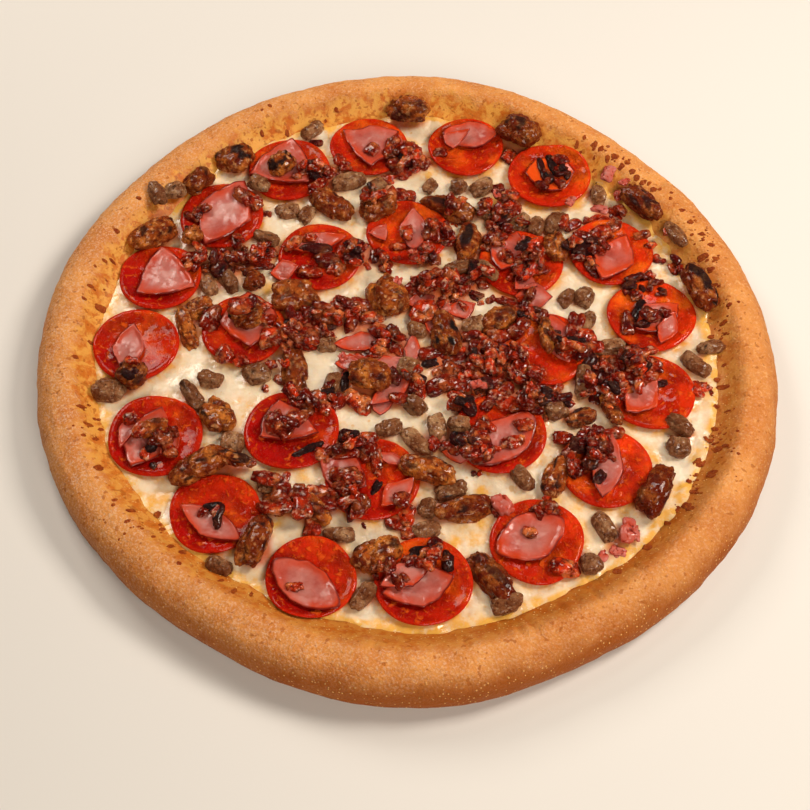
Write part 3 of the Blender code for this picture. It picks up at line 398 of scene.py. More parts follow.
def smooth_step(value, low, high):
    part = np.clip((value - low) / (high - low), 0, 1)
    return part * part * (3 - 2 * part)


def turned(x, y, turn):
    """Distances along and across a direction."""
    return x * math.cos(turn) + y * math.sin(turn), y * math.cos(turn) - x * math.sin(turn)


def round_spots(x, y, rows, wobble=0):
    """Soft round spots, 1 at the middle of each. The wobble makes their outlines uneven."""
    total = np.zeros_like(x)
    for spot_x, spot_y, radius in rows:
        away = np.hypot(x - spot_x * MM, y - spot_y * MM) / (radius * MM)
        total = np.maximum(total, np.exp(-((away + wobble) ** 2)))
    return total


# The pizza's main form

def bumps(angle, rows):
    """The sum of smooth local bumps, given as direction, spread and height."""
    total = 0 * angle
    for centre, spread, height in rows:
        turn = (np.degrees(angle) - centre + 180) % 360 - 180
        total = total + height * MM * np.exp(-((turn / spread) ** 2))
    return total


def outline_radius(angle):
    """Distance of the crust's outer edge from the middle."""
    radius = PIZZA_RADIUS + bumps(angle, OUTLINE_BUMPS)
    for order, cosine, sine in OUTLINE_WAVES:
        radius = radius + MM * (cosine * np.cos(order * angle) + sine * np.sin(order * angle))
    return radius


def rim_place(x, y):
    """Distance in from the crust's outer edge, and direction from the pizza's middle."""
    angle = np.arctan2(y, x)
    return outline_radius(angle) - np.hypot(x, y), angle


def crown_height(angle):
    return RIM_HEIGHT + bumps(angle, CROWN_BUMPS)


def rim_width(angle):
    return RIM_WIDTH + bumps(angle, WIDTH_BUMPS)


def slope_height(inset, angle):
    """Height of the rim's inner slope, by the distance in from the outer edge."""
    way = np.clip((inset - RIM_CROWN) / (rim_width(angle) - RIM_CROWN), 0, 1)
    return FOOT_HEIGHT + (crown_height(angle) - FOOT_HEIGHT) * (0.5 + 0.5 * np.cos(math.pi * way))


def cheese_height(x, y):
    """Slow swells of the melted cheese."""
    swell = np.sin(x / (21 * MM) + 0.7) * np.cos(y / (26 * MM)) + 0.6 * np.sin((x + y) / (33 * MM))
    return CHEESE_LEVEL + CHEESE_SWELL * swell


def ground_height(x, y):
    """The bare pizza's surface: cheese, then the rim's inner slope."""
    inset, angle = rim_place(x, y)
    return np.where(inset > rim_width(angle), cheese_height(x, y), slope_height(inset, angle))


# Meshes

def square_net(count):
    """Indices of a square net's points, and its faces."""
    index = np.arange((count + 1) ** 2).reshape(count + 1, count + 1)
    faces = np.stack([index[:-1, :-1], index[1:, :-1], index[1:, 1:], index[:-1, 1:]], axis=-1)
    return index, faces.reshape(-1, 4)


def disc_net(count):
    """A net of squares bent into a unit disc: its points, its faces and its rim's points in order."""
    line = np.linspace(-1, 1, count + 1)
    u, v = np.meshgrid(line, line, indexing="ij")
    wide = abs(u) >= abs(v)
    reach = np.where(wide, u, v)
    safe = np.where(reach == 0, 1, reach)
    turn = np.where(wide, math.pi / 4 * v / safe, math.pi / 2 - math.pi / 4 * u / safe)
    points = np.stack([reach * np.cos(turn), reach * np.sin(turn)], axis=-1).reshape(-1, 2)
    index, faces = square_net(count)
    rim = np.concatenate([index[:-1, 0], index[-1, :-1], index[:0:-1, -1], index[0, :0:-1]])
    return points, faces, rim


def ball_net(count):
    """A box of squares blown up into a unit ball: its points and its faces."""
    line = np.tan(np.linspace(-1, 1, count + 1) * math.pi / 4)
    u, v = np.meshgrid(line, line, indexing="ij")
    square = square_net(count)[1]
    points = []
    faces = []
    for turn in range(3):
        for side in (1, -1):
            wall = np.stack([u, side * v, side + 0 * u], axis=-1).reshape(-1, 3)
            faces.append(square + len(points) * len(wall))
            points.append(np.roll(wall, turn, axis=1))
    points = np.concatenate(points)
    points /= np.linalg.norm(points, axis=1, keepdims=True)
    _, first, index = np.unique(np.round(points, 6), axis=0, return_index=True, return_inverse=True)
    return points[first], index.reshape(-1)[np.concatenate(faces)]


def ring_faces(low, high):
    """Faces between two closed loops of points, both given by their indices."""
    return np.stack([low, np.roll(low, -1), np.roll(high, -1), high], axis=-1)


def fan_faces(loop, middle):
    """Triangles from a closed loop to one point."""
    return np.stack([loop, np.roll(loop, -1), np.full(len(loop), middle)], axis=-1)


def add_object(name, data):
    made = bpy.data.objects.new(name, data)
    bpy.context.scene.collection.objects.link(made)
    return made


def add_piece(name, points, faces, material, nodes=(), masks=None):
    """Makes a piece from points and a list of face arrays, with values for its material at each point."""
    mesh = bpy.data.meshes.new(name)
    mesh.from_pydata(points.tolist(), [], [face for part in faces for face in part.tolist()])
    for key, values in (masks or {}).items():
        layer = mesh.attributes.new(key, "FLOAT", "POINT")
        layer.data.foreach_set("value", np.ascontiguousarray(values, dtype=np.float32))
    mesh.materials.append(material)
    mesh.shade_smooth()
    piece = add_object(name, mesh)
    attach(piece, "root")
    for node in nodes:
        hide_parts(node)


def sheet_points(place, net, outline, underside, thickness, relief):
    """A thin closed sheet: its points, its faces and each point's share of the way out to the edge."""
    flat, faces, rim = net
    share = np.hypot(flat[:, 0], flat[:, 1])
    angle = np.arctan2(flat[:, 1], flat[:, 0])
    x = place[0] + flat[:, 0] * outline(angle)
    y = place[1] + flat[:, 1] * outline(angle)
    edge = 0.35 * thickness * smooth_step(share, 0.86, 1.0) ** 2
    points = [np.stack([x, y, underside(x, y) + thickness - edge + relief(x, y, share)], axis=-1)]
    shares = [share]
    all_faces = [faces]
    loop = rim
    count = len(flat)
    for reach, height in UNDERSIDE_RINGS:
        ring_x = place[0] + (x[rim] - place[0]) * reach
        ring_y = place[1] + (y[rim] - place[1]) * reach
        points.append(np.stack([ring_x, ring_y, underside(ring_x, ring_y) + thickness * height], axis=-1))
        shares.append(np.full(len(rim), min(reach, 1.0)))
        after = np.arange(count, count + len(rim))
        all_faces.append(ring_faces(after, loop))
        loop = after
        count += len(rim)
    points.append(np.array([[*place, underside(*np.array(place).reshape(2, 1))[0]]]))
    shares.append(np.zeros(1))
    all_faces.append(fan_faces(loop[::-1], count))
    return np.concatenate(points), all_faces, np.concatenate(shares)


class Landscape:
    """How high the dressed pizza reaches at each point of its plan."""

    def __init__(self):
        self.count = round(GRID_REACH / GRID_STEP)
        line = np.arange(-self.count, self.count + 1) * GRID_STEP
        self.x, self.y = np.meshgrid(line, line, indexing="ij")
        self.top = ground_height(self.x, self.y)
        self.ground = self.top.copy()

    def window(self, x, y, reach):
        """The part of the grid within reach of a place."""
        steps = math.ceil(reach / GRID_STEP) + 1
        last = 2 * self.count + 1
        middles = (self.count + round(x / GRID_STEP), self.count + round(y / GRID_STEP))
        return tuple(slice(max(middle - steps, 0), min(middle + steps, last)) for middle in middles)

    def cells(self, x, y, field, start=(0, 0)):
        """Indices of the cells nearest to places, in a field that starts at the given cell."""
        sides = zip((x, y), start, field.shape)
        return tuple(np.clip(np.round(value / GRID_STEP).astype(int) + self.count - first, 0, size - 1)
                     for value, first, size in sides)

    def cover(self, part, inside, heights):
        self.top[part] = np.where(inside, np.maximum(self.top[part], heights), self.top[part])


def blurred(field, steps):
    """A grid smoothed by a running mean, along each side in turn, three times over."""
    width = 2 * steps + 1
    for axis in (0, 1) * 3:
        margins = [(steps + 1, steps) if side == axis else (0, 0) for side in (0, 1)]
        total = np.cumsum(np.pad(field, margins, mode="edge"), axis=axis)
        count = field.shape[axis]
        field = (total.take(range(width, width + count), axis) - total.take(range(count), axis)) / width
    return field


# Shader nodes and groups

def feed(made, inputs):
    """Sets a node's inputs, each to a value or colour or from a socket, and gives the node's outputs."""
    for socket, value in inputs.items():
        if isinstance(value, bpy.types.NodeSocket):
            made.id_data.links.new(value, made.inputs[socket])
        else:
            made.inputs[socket].default_value = (*value, 1.0) if isinstance(value, tuple) else value
    return made.outputs


def put(tree, kind, inputs, **settings):
    """Adds a shader node and gives its outputs."""
    made = tree.nodes.new("ShaderNode" + kind)
    for key, value in settings.items():
        setattr(made, key, value)
    return feed(made, inputs)


def blend(tree, share, first, second):
    """Mixes two colours by a share from 0 to 1."""
    return put(tree, "Mix", {0: share, 6: first, 7: second}, data_type="RGBA")[2]


def times(tree, first, second, clamp=False):
    return put(tree, "Math", {0: first, 1: second}, operation="MULTIPLY", use_clamp=clamp)[0]


def plus(tree, first, second, clamp=False):
    return put(tree, "Math", {0: first, 1: second}, operation="ADD", use_clamp=clamp)[0]


def spread(tree, value, low, high, new_low=0.0, new_high=1.0):
    """Maps a value smoothly from one range to another."""
    ranges = {0: value, 1: low, 2: high, 3: new_low, 4: new_high}
    return put(tree, "MapRange", ranges, interpolation_type="SMOOTHSTEP")[0]


def cloud(tree, place, scale, detail=3.0, roughness=0.5, distortion=0.0):
    """Noise with features of 1 / scale metres."""
    inputs = {"Vector": place, "Scale": scale, "Detail": detail, "Roughness": roughness,
              "Distortion": distortion}
    return put(tree, "TexNoise", inputs)[0]


def cells(tree, place, scale):
    """Distance from the middle of the nearest of many cells."""
    return put(tree, "TexVoronoi", {"Vector": place, "Scale": scale})["Distance"]


def mask(tree, key):
    return put(tree, "Attribute", {}, attribute_name=key)["Fac"]


def new_group(name, inputs, outputs):
    """An empty shader group with its sockets, given as name and kind: Float, Color or Vector."""
    group = bpy.data.node_groups.new(name, "ShaderNodeTree")
    for side, rows in (("INPUT", inputs), ("OUTPUT", outputs)):
        for socket, kind in rows.items():
            group.interface.new_socket(socket, in_out=side, socket_type="NodeSocket" + kind)
    return group, group.nodes.new("NodeGroupInput").outputs, group.nodes.new("NodeGroupOutput")


def make_mottle_group():
    """Uneven colour: a base, darker clouds and paler flecks."""
    group, given, out = new_group(
        "Mottled colour",
        {"Place": "Vector", "Base": "Color", "Dark": "Color", "Pale": "Color", "Cloud scale": "Float",
         "Fleck scale": "Float", "Cloud strength": "Float", "Fleck strength": "Float"},
        {"Colour": "Color", "Flecks": "Float"})
    clouds = spread(group, cloud(group, given["Place"], given["Cloud scale"], 4.0, 0.6), 0.35, 0.68)
    dark = blend(group, times(group, clouds, given["Cloud strength"]), given["Base"], given["Dark"])
    flecks = spread(group, cloud(group, given["Place"], given["Fleck scale"], 2.0, 0.5, 0.4), 0.54, 0.70)
    colour = blend(group, times(group, flecks, given["Fleck strength"]), dark, given["Pale"])
    feed(out, {"Colour": colour, "Flecks": flecks})
    return group


def make_grease_group():
    """Patches of melted fat: a mask of where the surface is wet, and the roughness that goes with it."""
    group, given, out = new_group(
        "Melted fat",
        {"Place": "Vector", "Scale": "Float", "Wet roughness": "Float", "Dry roughness": "Float"},
        {"Wet": "Float", "Roughness": "Float"})
    wet = spread(group, cloud(group, given["Place"], given["Scale"], 3.0, 0.55), 0.36, 0.62)
    rough = put(group, "MapRange", {0: wet, 3: given["Dry roughness"], 4: given["Wet roughness"]})[0]
    feed(out, {"Wet": wet, "Roughness": rough})
    return group


def make_grain_group():
    """Fine relief: coarse grain with finer grain on it."""
    group, given, out = new_group(
        "Meat grain", {"Place": "Vector", "Scale": "Float", "Fine share": "Float"}, {"Height": "Float"})
    coarse = cloud(group, given["Place"], given["Scale"], 2.0, 0.5)
    fine = cloud(group, given["Place"], times(group, given["Scale"], 3.7), 2.0, 0.6)
    feed(out, {"Height": plus(group, coarse, times(group, fine, given["Fine share"]))})
    return group


def make_glaze_group():
    """Cheese baked golden on the rim's slope: yellow, streaked and spotted with orange-brown."""
    group, given, out = new_group("Golden glaze", {"Place": "Vector"}, {"Colour": "Color"})
    streaks = spread(group, cloud(group, given["Place"], 170.0, 5.0, 0.62, 0.3), 0.42, 0.62)
    glaze = blend(group, streaks, (0.78, 0.37, 0.066), (0.58, 0.14, 0.009))
    spots = spread(group, cloud(group, given["Place"], 330.0, 2.0, 0.5), 0.60, 0.68)
    feed(out, {"Colour": blend(group, times(group, spots, 0.75), glaze, (0.50, 0.10, 0.008))})
    return group


MOTTLE = make_mottle_group()
GREASE = make_grease_group()
GRAIN = make_grain_group()
GLAZE = make_glaze_group()


def use_group(tree, group, inputs):
    made = tree.nodes.new("ShaderNodeGroup")
    made.node_tree = group
    return feed(made, inputs)


def mottled(tree, place, base, dark, pale, clouds, flecks):
    """A colour with darker clouds and paler flecks, each given as scale and strength."""
    return use_group(tree, MOTTLE, {
        "Place": place, "Base": base, "Dark": dark, "Pale": pale, "Cloud scale": clouds[0],
        "Fleck scale": flecks[0], "Cloud strength": clouds[1], "Fleck strength": flecks[1]})


def melted_fat(tree, place, scale, wet, dry):
    """Patches of fat of a scale, with the roughness where wet and where dry."""
    return use_group(tree, GREASE, {
        "Place": place, "Scale": scale, "Wet roughness": wet, "Dry roughness": dry})


def grain(tree, place, scale, fine_share):
    return use_group(tree, GRAIN, {"Place": place, "Scale": scale, "Fine share": fine_share})["Height"]


def new_material(name, **constants):
    """A material with its Principled shader, whose plain values are set on the shader itself."""
    material = bpy.data.materials.new(name)
    material.use_nodes = True
    tree = material.node_tree
    shader = tree.nodes["Principled BSDF"]
    for key, value in constants.items():
        shader.inputs[key.replace("_", " ")].default_value = value
    return material, tree, shader, put(tree, "TexCoord", {})["Object"]


def relief_normal(tree, height, depth):
    """The normal of a surface with a height, full at the given depth in metres."""
    return put(tree, "Bump", {"Height": height, "Distance": depth, "Strength": 1.0})["Normal"]


# Materials

def make_crust_material():
    """Baked dough: tan skin, toasted low down with painted shade there too, dusted with flour, cheesy and
    golden on the inner slope, the gold partly painted light.
    """
    material, tree, shader, place = new_material(
        "baked crust", Subsurface_Weight=0.12, Subsurface_Radius=(1.0, 0.5, 0.25), Subsurface_Scale=0.002,
        Specular_IOR_Level=0.14)
    skin = mottled(tree, place, base=(0.77, 0.32, 0.078), dark=(0.57, 0.17, 0.026), pale=(0.88, 0.48, 0.19),
                   clouds=(42.0, 0.8), flecks=(560.0, 0.5))["Colour"]
    # Toast colour: browning, and low on the side also painted shade.
    toasted = blend(tree, times(tree, mask(tree, "toast_and_shade"), 0.93), skin, (0.33, 0.072, 0.003))
    cheesy = mask(tree, "cheesy")
    glaze = use_group(tree, GLAZE, {"Place": place})["Colour"]
    # The golden mask is partly baked cheese, partly painted light on the lit slope.
    golden = blend(tree, times(tree, cheesy, mask(tree, "golden")), toasted, glaze)
    flour = spread(tree, cloud(tree, place, 900.0, 4.0, 0.7), 0.45, 0.70)
    dust = times(tree, times(tree, mask(tree, "dust"), flour), 0.8)
    dusted = blend(tree, dust, golden, (0.78, 0.52, 0.36))
    blisters = times(tree, spread(tree, cells(tree, place, 480.0), 0.12, 0.24, 1.0, 0.0), mask(tree, "toast_and_shade"))
    blistered = blend(tree, times(tree, blisters, 0.9), dusted, (0.92, 0.55, 0.19))
    dots = plus(tree, cloud(tree, place, 380.0, 1.0, 0.4), times(tree, cheesy, 0.035))
    freckled = blend(tree, times(tree, spread(tree, dots, 0.66, 0.72), 0.65), blistered, (0.38, 0.095, 0.010))
    wrinkles = cloud(tree, place, 420.0, 4.0, 0.65, 0.8)
    height = plus(tree, wrinkles, times(tree, cells(tree, place, 900.0), 0.4))
    height = times(tree, height, spread(tree, cheesy, 0.0, 1.0, 1.0, 0.35))
    height = plus(tree, height, times(tree, blisters, 0.6))
    rough = put(tree, "MapRange", {0: cheesy, 3: 0.62, 4: 0.34})[0]
    feed(shader, {"Base Color": freckled, "Roughness": rough, "Normal": relief_normal(tree, height, 0.0006)})
    return material


def make_cheese_material():
    """Melted mozzarella: cream, soft inside, with orange oil where the masks say, and dark red meat juice
    that is also painted shade between the toppings.
    """
    material, tree, shader, place = new_material(
        "melted cheese", Subsurface_Weight=0.3, Subsurface_Radius=(1.0, 0.65, 0.35), Subsurface_Scale=0.004,
        Coat_Weight=0.25, Coat_Roughness=0.12)
    curd = mottled(tree, place, base=(0.82, 0.70, 0.52), dark=(0.80, 0.60, 0.36), pale=(0.88, 0.80, 0.66),
                   clouds=(60.0, 0.5), flecks=(140.0, 0.5))["Colour"]
    broken = spread(tree, cloud(tree, place, 200.0, 4.0, 0.65), 0.34, 0.62)
    oil = times(tree, mask(tree, "oil"), plus(tree, broken, 0.2), True)
    oiled = blend(tree, oil, curd, (0.82, 0.38, 0.045))
    browned = spread(tree, cloud(tree, place, 210.0, 2.0, 0.5), 0.66, 0.74)
    spotted = blend(tree, times(tree, browned, 0.6), oiled, (0.72, 0.36, 0.08))
    # Dark red meat juice among the toppings, partly painted shade between them.
    soaked_and_shaded = blend(tree, mask(tree, "juice_and_shade"), spotted, (0.52, 0.060, 0.007))
    patchy = times(tree, mask(tree, "golden"), plus(tree, broken, 0.45), True)
    baked = blend(tree, patchy, soaked_and_shaded, (0.84, 0.44, 0.080))
    feed(shader, {"Base Color": baked, "Roughness": melted_fat(tree, place, 90.0, 0.2, 0.42)["Roughness"],
                  "Normal": relief_normal(tree, grain(tree, place, 120.0, 0.12), 0.0014)})
    return material


def make_pepperoni_material():
    """Cured sausage: deep red with orange fat flecks, a darker rim and an oily shine. Its tone is partly
    random and partly painted light: lighter and more orange toward the lit upper right.
    """
    material, tree, shader, place = new_material(
        "pepperoni", Subsurface_Weight=0.15, Subsurface_Radius=(1.0, 0.12, 0.04), Subsurface_Scale=0.002,
        Specular_IOR_Level=0.05, Coat_Roughness=0.05)
    # Painted light: the tone mask blends dark red to bright orange-red and gates the orange patches, lighter
    # where light falls.
    lit = blend(tree, mask(tree, "tone"), (0.44, 0.003, 0.001), (0.82, 0.042, 0.002))
    glow = times(tree, spread(tree, cloud(tree, place, 60.0, 2.0), 0.46, 0.66), mask(tree, "tone"))
    meat = mottled(tree, place, base=blend(tree, glow, lit, (0.90, 0.15, 0.006)), dark=(0.22, 0.003, 0.001),
                   pale=(0.90, 0.14, 0.012), clouds=(75.0, 0.8), flecks=(330.0, 0.5))
    rim = times(tree, spread(tree, mask(tree, "share"), 0.90, 1.0), 0.7)
    fat = melted_fat(tree, place, 150.0, 0.12, 0.38)
    height = plus(tree, grain(tree, place, 520.0, 0.5), times(tree, meat["Flecks"], 0.5))
    feed(shader, {"Base Color": blend(tree, rim, meat["Colour"], (0.62, 0.018, 0.002)),
                  "Roughness": fat["Roughness"], "Coat Weight": times(tree, fat["Wet"], 0.3),
                  "Normal": relief_normal(tree, height, 0.0009)})
    return material


def make_ham_material():
    """Cooked ham: pale pink, clear and orange at its edges, with a thin dark rim."""
    material, tree, shader, place = new_material(
        "ham", Subsurface_Weight=0.4, Subsurface_Radius=(1.0, 0.3, 0.2), Subsurface_Scale=0.0025,
        Specular_IOR_Level=0.15, Coat_Roughness=0.12)
    meat = mottled(tree, place, base=(0.52, 0.19, 0.155), dark=(0.38, 0.055, 0.040), pale=(0.70, 0.41, 0.37),
                   clouds=(70.0, 0.9), flecks=(130.0, 0.5))["Colour"]
    warm = times(tree, mask(tree, "warm"), spread(tree, cloud(tree, place, 90.0, 2.0), 0.35, 0.6, 0.5, 1.0))
    heat = blend(tree, spread(tree, mask(tree, "warm"), 1.2, 2.0), (0.56, 0.052, 0.012), (0.74, 0.075, 0.006))
    rim = times(tree, spread(tree, mask(tree, "share"), 0.90, 0.99),
                spread(tree, cloud(tree, place, 75.0, 2.0), 0.32, 0.50))
    fat = melted_fat(tree, place, 160.0, 0.18, 0.40)
    feed(shader, {"Base Color": blend(tree, rim, blend(tree, warm, meat, heat), (0.17, 0.007, 0.003)),
                  "Roughness": fat["Roughness"], "Coat Weight": times(tree, fat["Wet"], 0.4),
                  "Normal": relief_normal(tree, grain(tree, place, 160.0, 0.12), 0.0004)})
    return material


def make_lump_material(name, light, dark, pale, fat, crack_shade, cloud_scale, dry, wet, coat, depth, grain_scale):
    """Browned meat: its colour goes by tone from lump to lump, with painted shade in the cracks, and darker
    where charred.
    """
    material, tree, shader, place = new_material(
        name, Subsurface_Weight=0.12, Subsurface_Radius=(1.0, 0.3, 0.1), Subsurface_Scale=0.002,
        Specular_IOR_Level=0.08, Coat_Roughness=0.05)
    tone = mask(tree, "tone")
    glow = times(tree, spread(tree, cloud(tree, place, cloud_scale * 0.7, 2.0), 0.46, 0.66),
                 spread(tree, tone, 0.0, 1.0, 0.9, 0.25))
    warmed = blend(tree, glow, blend(tree, tone, light, dark), pale)
    meat = mottled(tree, place, base=warmed, dark=dark, pale=fat, clouds=(cloud_scale, 0.95),
                   flecks=(grain_scale * 0.7, spread(tree, tone, 0.0, 1.0, 0.6, 0.2)))["Colour"]
    dots = spread(tree, cloud(tree, place, grain_scale * 0.75, 1.0, 0.4), 0.63, 0.70, 0.0, 0.75)
    # Painted shade: the cracks between grains are darkened.
    cracks = spread(tree, mask(tree, "grain"), 0.0, 0.35, 0.6, 0.0)
    crack_shaded = blend(tree, cracks, blend(tree, dots, meat, crack_shade), crack_shade)
    char = mask(tree, "char")
    grease = melted_fat(tree, place, 330.0, wet, dry)
    shine = times(tree, grease["Wet"], spread(tree, char, 0.0, 1.0, coat, 0.15 * coat))
    feed(shader, {"Base Color": blend(tree, char, crack_shaded, (0.012, 0.006, 0.006)),
                  "Roughness": plus(tree, grease["Roughness"], times(tree, char, 0.4), True),
                  "Coat Weight": shine,
                  "Normal": relief_normal(tree, grain(tree, place, grain_scale, 0.6), depth)})
    return material


def make_speck_material():
    """Scorched spots of cheese and dough on the rim."""
    material, tree, shader, place = new_material("toasted specks", Specular_IOR_Level=0.15)
    spots = mottled(tree, place, base=(0.34, 0.060, 0.005), dark=(0.20, 0.020, 0.002),
                    pale=(0.58, 0.17, 0.018), clouds=(300.0, 0.8), flecks=(900.0, 0.5))["Colour"]
    feed(shader, {"Base Color": spots, "Roughness": melted_fat(tree, place, 400.0, 0.3, 0.6)["Roughness"],
                  "Normal": relief_normal(tree, grain(tree, place, 800.0, 0.5), 0.0006)})
    return material


# Crust and cheese

def rim_profile():
    """Inset and height share of evenly spaced rings, from the underside over the side to the crown."""
    turns = np.radians(np.linspace(-90, 90, 721))
    power = np.where(turns < 0, 2 / LOWER_ROUNDING, 2 / UPPER_ROUNDING)
    inset = RIM_CROWN * (1 - np.clip(np.cos(turns), 0, None) ** power)
    rise = np.sign(turns) * abs(np.sin(turns)) ** power
    height = SIDE_HEIGHT + np.where(turns < 0, SIDE_HEIGHT, RIM_HEIGHT - SIDE_HEIGHT) * rise
    length = np.concatenate([[0], np.cumsum(np.hypot(np.diff(inset), np.diff(height)))])
    even = np.linspace(0, length[-1], SIDE_RINGS)
    return np.interp(even, length, inset), np.interp(even, length, rise)


def crust_relief(points, height_share):
    """How far the baked skin stands out from the smooth rim: puffs, wrinkles and creases."""
    inset, angle = rim_place(points[:, 0], points[:, 1])
    radius = np.hypot(points[:, 0], points[:, 1])
    drawn_out = np.stack([angle * PIZZA_RADIUS / WRINKLE_STRETCH, radius, points[:, 2]], axis=-1)
    puffs = PUFF_DEPTH * rough_noise(points * (1, 1, 1.4), PUFF_SIZE, 2, 1)
    wrinkles = WRINKLE_DEPTH * rough_noise(drawn_out, WRINKLE_SIZE, 2, 2)
    knobs = KNOB_DEPTH * rough_noise(points, KNOB_SIZE, 3, 3)
    relief = puffs + (wrinkles + knobs) * (1 - 0.6 * smooth_step(inset, 14 * MM, 20 * MM))
    for x1, y1, x2, y2, depth in CREASES:
        start = np.array((x1, y1)) * MM
        way = np.array((x2, y2)) * MM - start
        share = np.clip((points[:, :2] - start) @ way / (way @ way), 0, 1)
        off = np.hypot(*(points[:, :2] - (start + share[:, None] * way)).T)
        fade = depth * MM * np.sin(math.pi * np.clip(share, 0.05, 0.95)) * (points[:, 2] > SIDE_HEIGHT)
        relief -= fade * np.exp(-((off / (1.1 * MM)) ** 2))
        relief += 0.45 * fade * np.exp(-(((off - 2.2 * MM) / (1.2 * MM)) ** 2))
    return relief * smooth_step(height_share, 0.0, 0.35)


def crust_masks(points):
    """Where the skin is toasted, cheesy, dusty and golden, with painted shade low down and painted light on
    the golden slope.
    """
    x, y, z = points.T
    inset, angle = rim_place(x, y)
    patches = rough_noise(points, 22 * MM, 4, 5)
    facing = np.clip(0.28 + 0.72 * np.cos(angle - TOASTED_SIDE), 0, 1)
    high_edge = 1 - smooth_step(z + 2.5 * MM * patches, 14.5 * MM, 25.5 * MM)
    # Painted shade: the side low down is darkened, partly as real browning, partly as the shade under the
    # rim.
    low_browning_and_shade = 1 - smooth_step(z, 6 * MM, 13 * MM)
    toast_and_shade = np.maximum(facing * high_edge, low_browning_and_shade) + 0.3 * smooth_step(patches, 0.1, 1.0)
    streaks = soft_noise(np.stack([angle * PIZZA_RADIUS, inset / 3, 0 * x], axis=-1), 5 * MM, 6)
    cheesy = smooth_step(inset + 3.5 * MM * streaks, 16 * MM, 22 * MM)
    floury = 0.65 - 0.35 * np.cos(angle - PLAIN_SIDE)
    dust = floury * (1 - 0.9 * np.clip(toast_and_shade, 0, 1)) * (1 - cheesy)
    # Painted light: the glaze is brightest toward the upper left, where the slope is lit, as well as golden
    # cheese.
    golden = 0.6 + 0.38 * np.cos(angle - GOLDEN_AND_LIT_SIDE)
    return {"toast_and_shade": np.clip(toast_and_shade, 0, 1), "cheesy": cheesy, "dust": np.clip(dust, 0, 1), "golden": golden}


def make_crust(material):
    """The whole loaf of dough: puffed rim, flat underside and the floor under the cheese."""
    angles = np.arange(CRUST_SEGMENTS) * 2 * math.pi / CRUST_SEGMENTS
    crown = crown_height(angles)
    insets = []
    heights = []
    for inset, rise in zip(*rim_profile()):
        insets.append(inset + 0 * angles)
        heights.append(SIDE_HEIGHT + np.where(rise < 0, SIDE_HEIGHT, crown - SIDE_HEIGHT) * rise)
    for way in np.linspace(0, SLOPE_END, SLOPE_RINGS)[1:]:
        inset = RIM_CROWN + way * (rim_width(angles) - RIM_CROWN)
        insets.append(inset)
        dip = SLOPE_DIP * max(way - SLOPE_TUCKED, 0) / (SLOPE_END - SLOPE_TUCKED)
        heights.append(slope_height(inset, angles) - dip)
    heights = np.array(heights)
    radii = outline_radius(angles) - np.array(insets)
    along_r = np.gradient(radii, axis=0)
    along_z = np.gradient(heights, axis=0)
    size = np.hypot(along_r, along_z) + 1e-9
    smooth = np.stack([radii * np.cos(angles), radii * np.sin(angles), heights], axis=-1).reshape(-1, 3)
    relief = crust_relief(smooth, (heights / RIM_HEIGHT).reshape(-1)).reshape(radii.shape)
    radii = radii + relief * along_z / size
    heights = np.maximum(heights - relief * along_r / size, 0)
    heights[0] = 0
    rings = np.stack([radii * np.cos(angles), radii * np.sin(angles), heights], axis=-1)
    base = rings[0] * (0.55, 0.55, 0)
    floor_edge = rings[-1] * (0.99, 0.99, 0) + (0, 0, BASE_THICKNESS)
    points = np.concatenate([base, *rings, floor_edge, [(0, 0, 0), (0, 0, BASE_THICKNESS)]])
    loops = np.arange(len(points) - 2).reshape(-1, CRUST_SEGMENTS)
    faces = [ring_faces(low, high) for low, high in zip(loops, loops[1:])]
    faces.append(fan_faces(loops[0][::-1], len(points) - 2))
    faces.append(fan_faces(loops[-1], len(points) - 1))
    add_piece("crust_skin", points, faces, material, ("crust",), crust_masks(points))


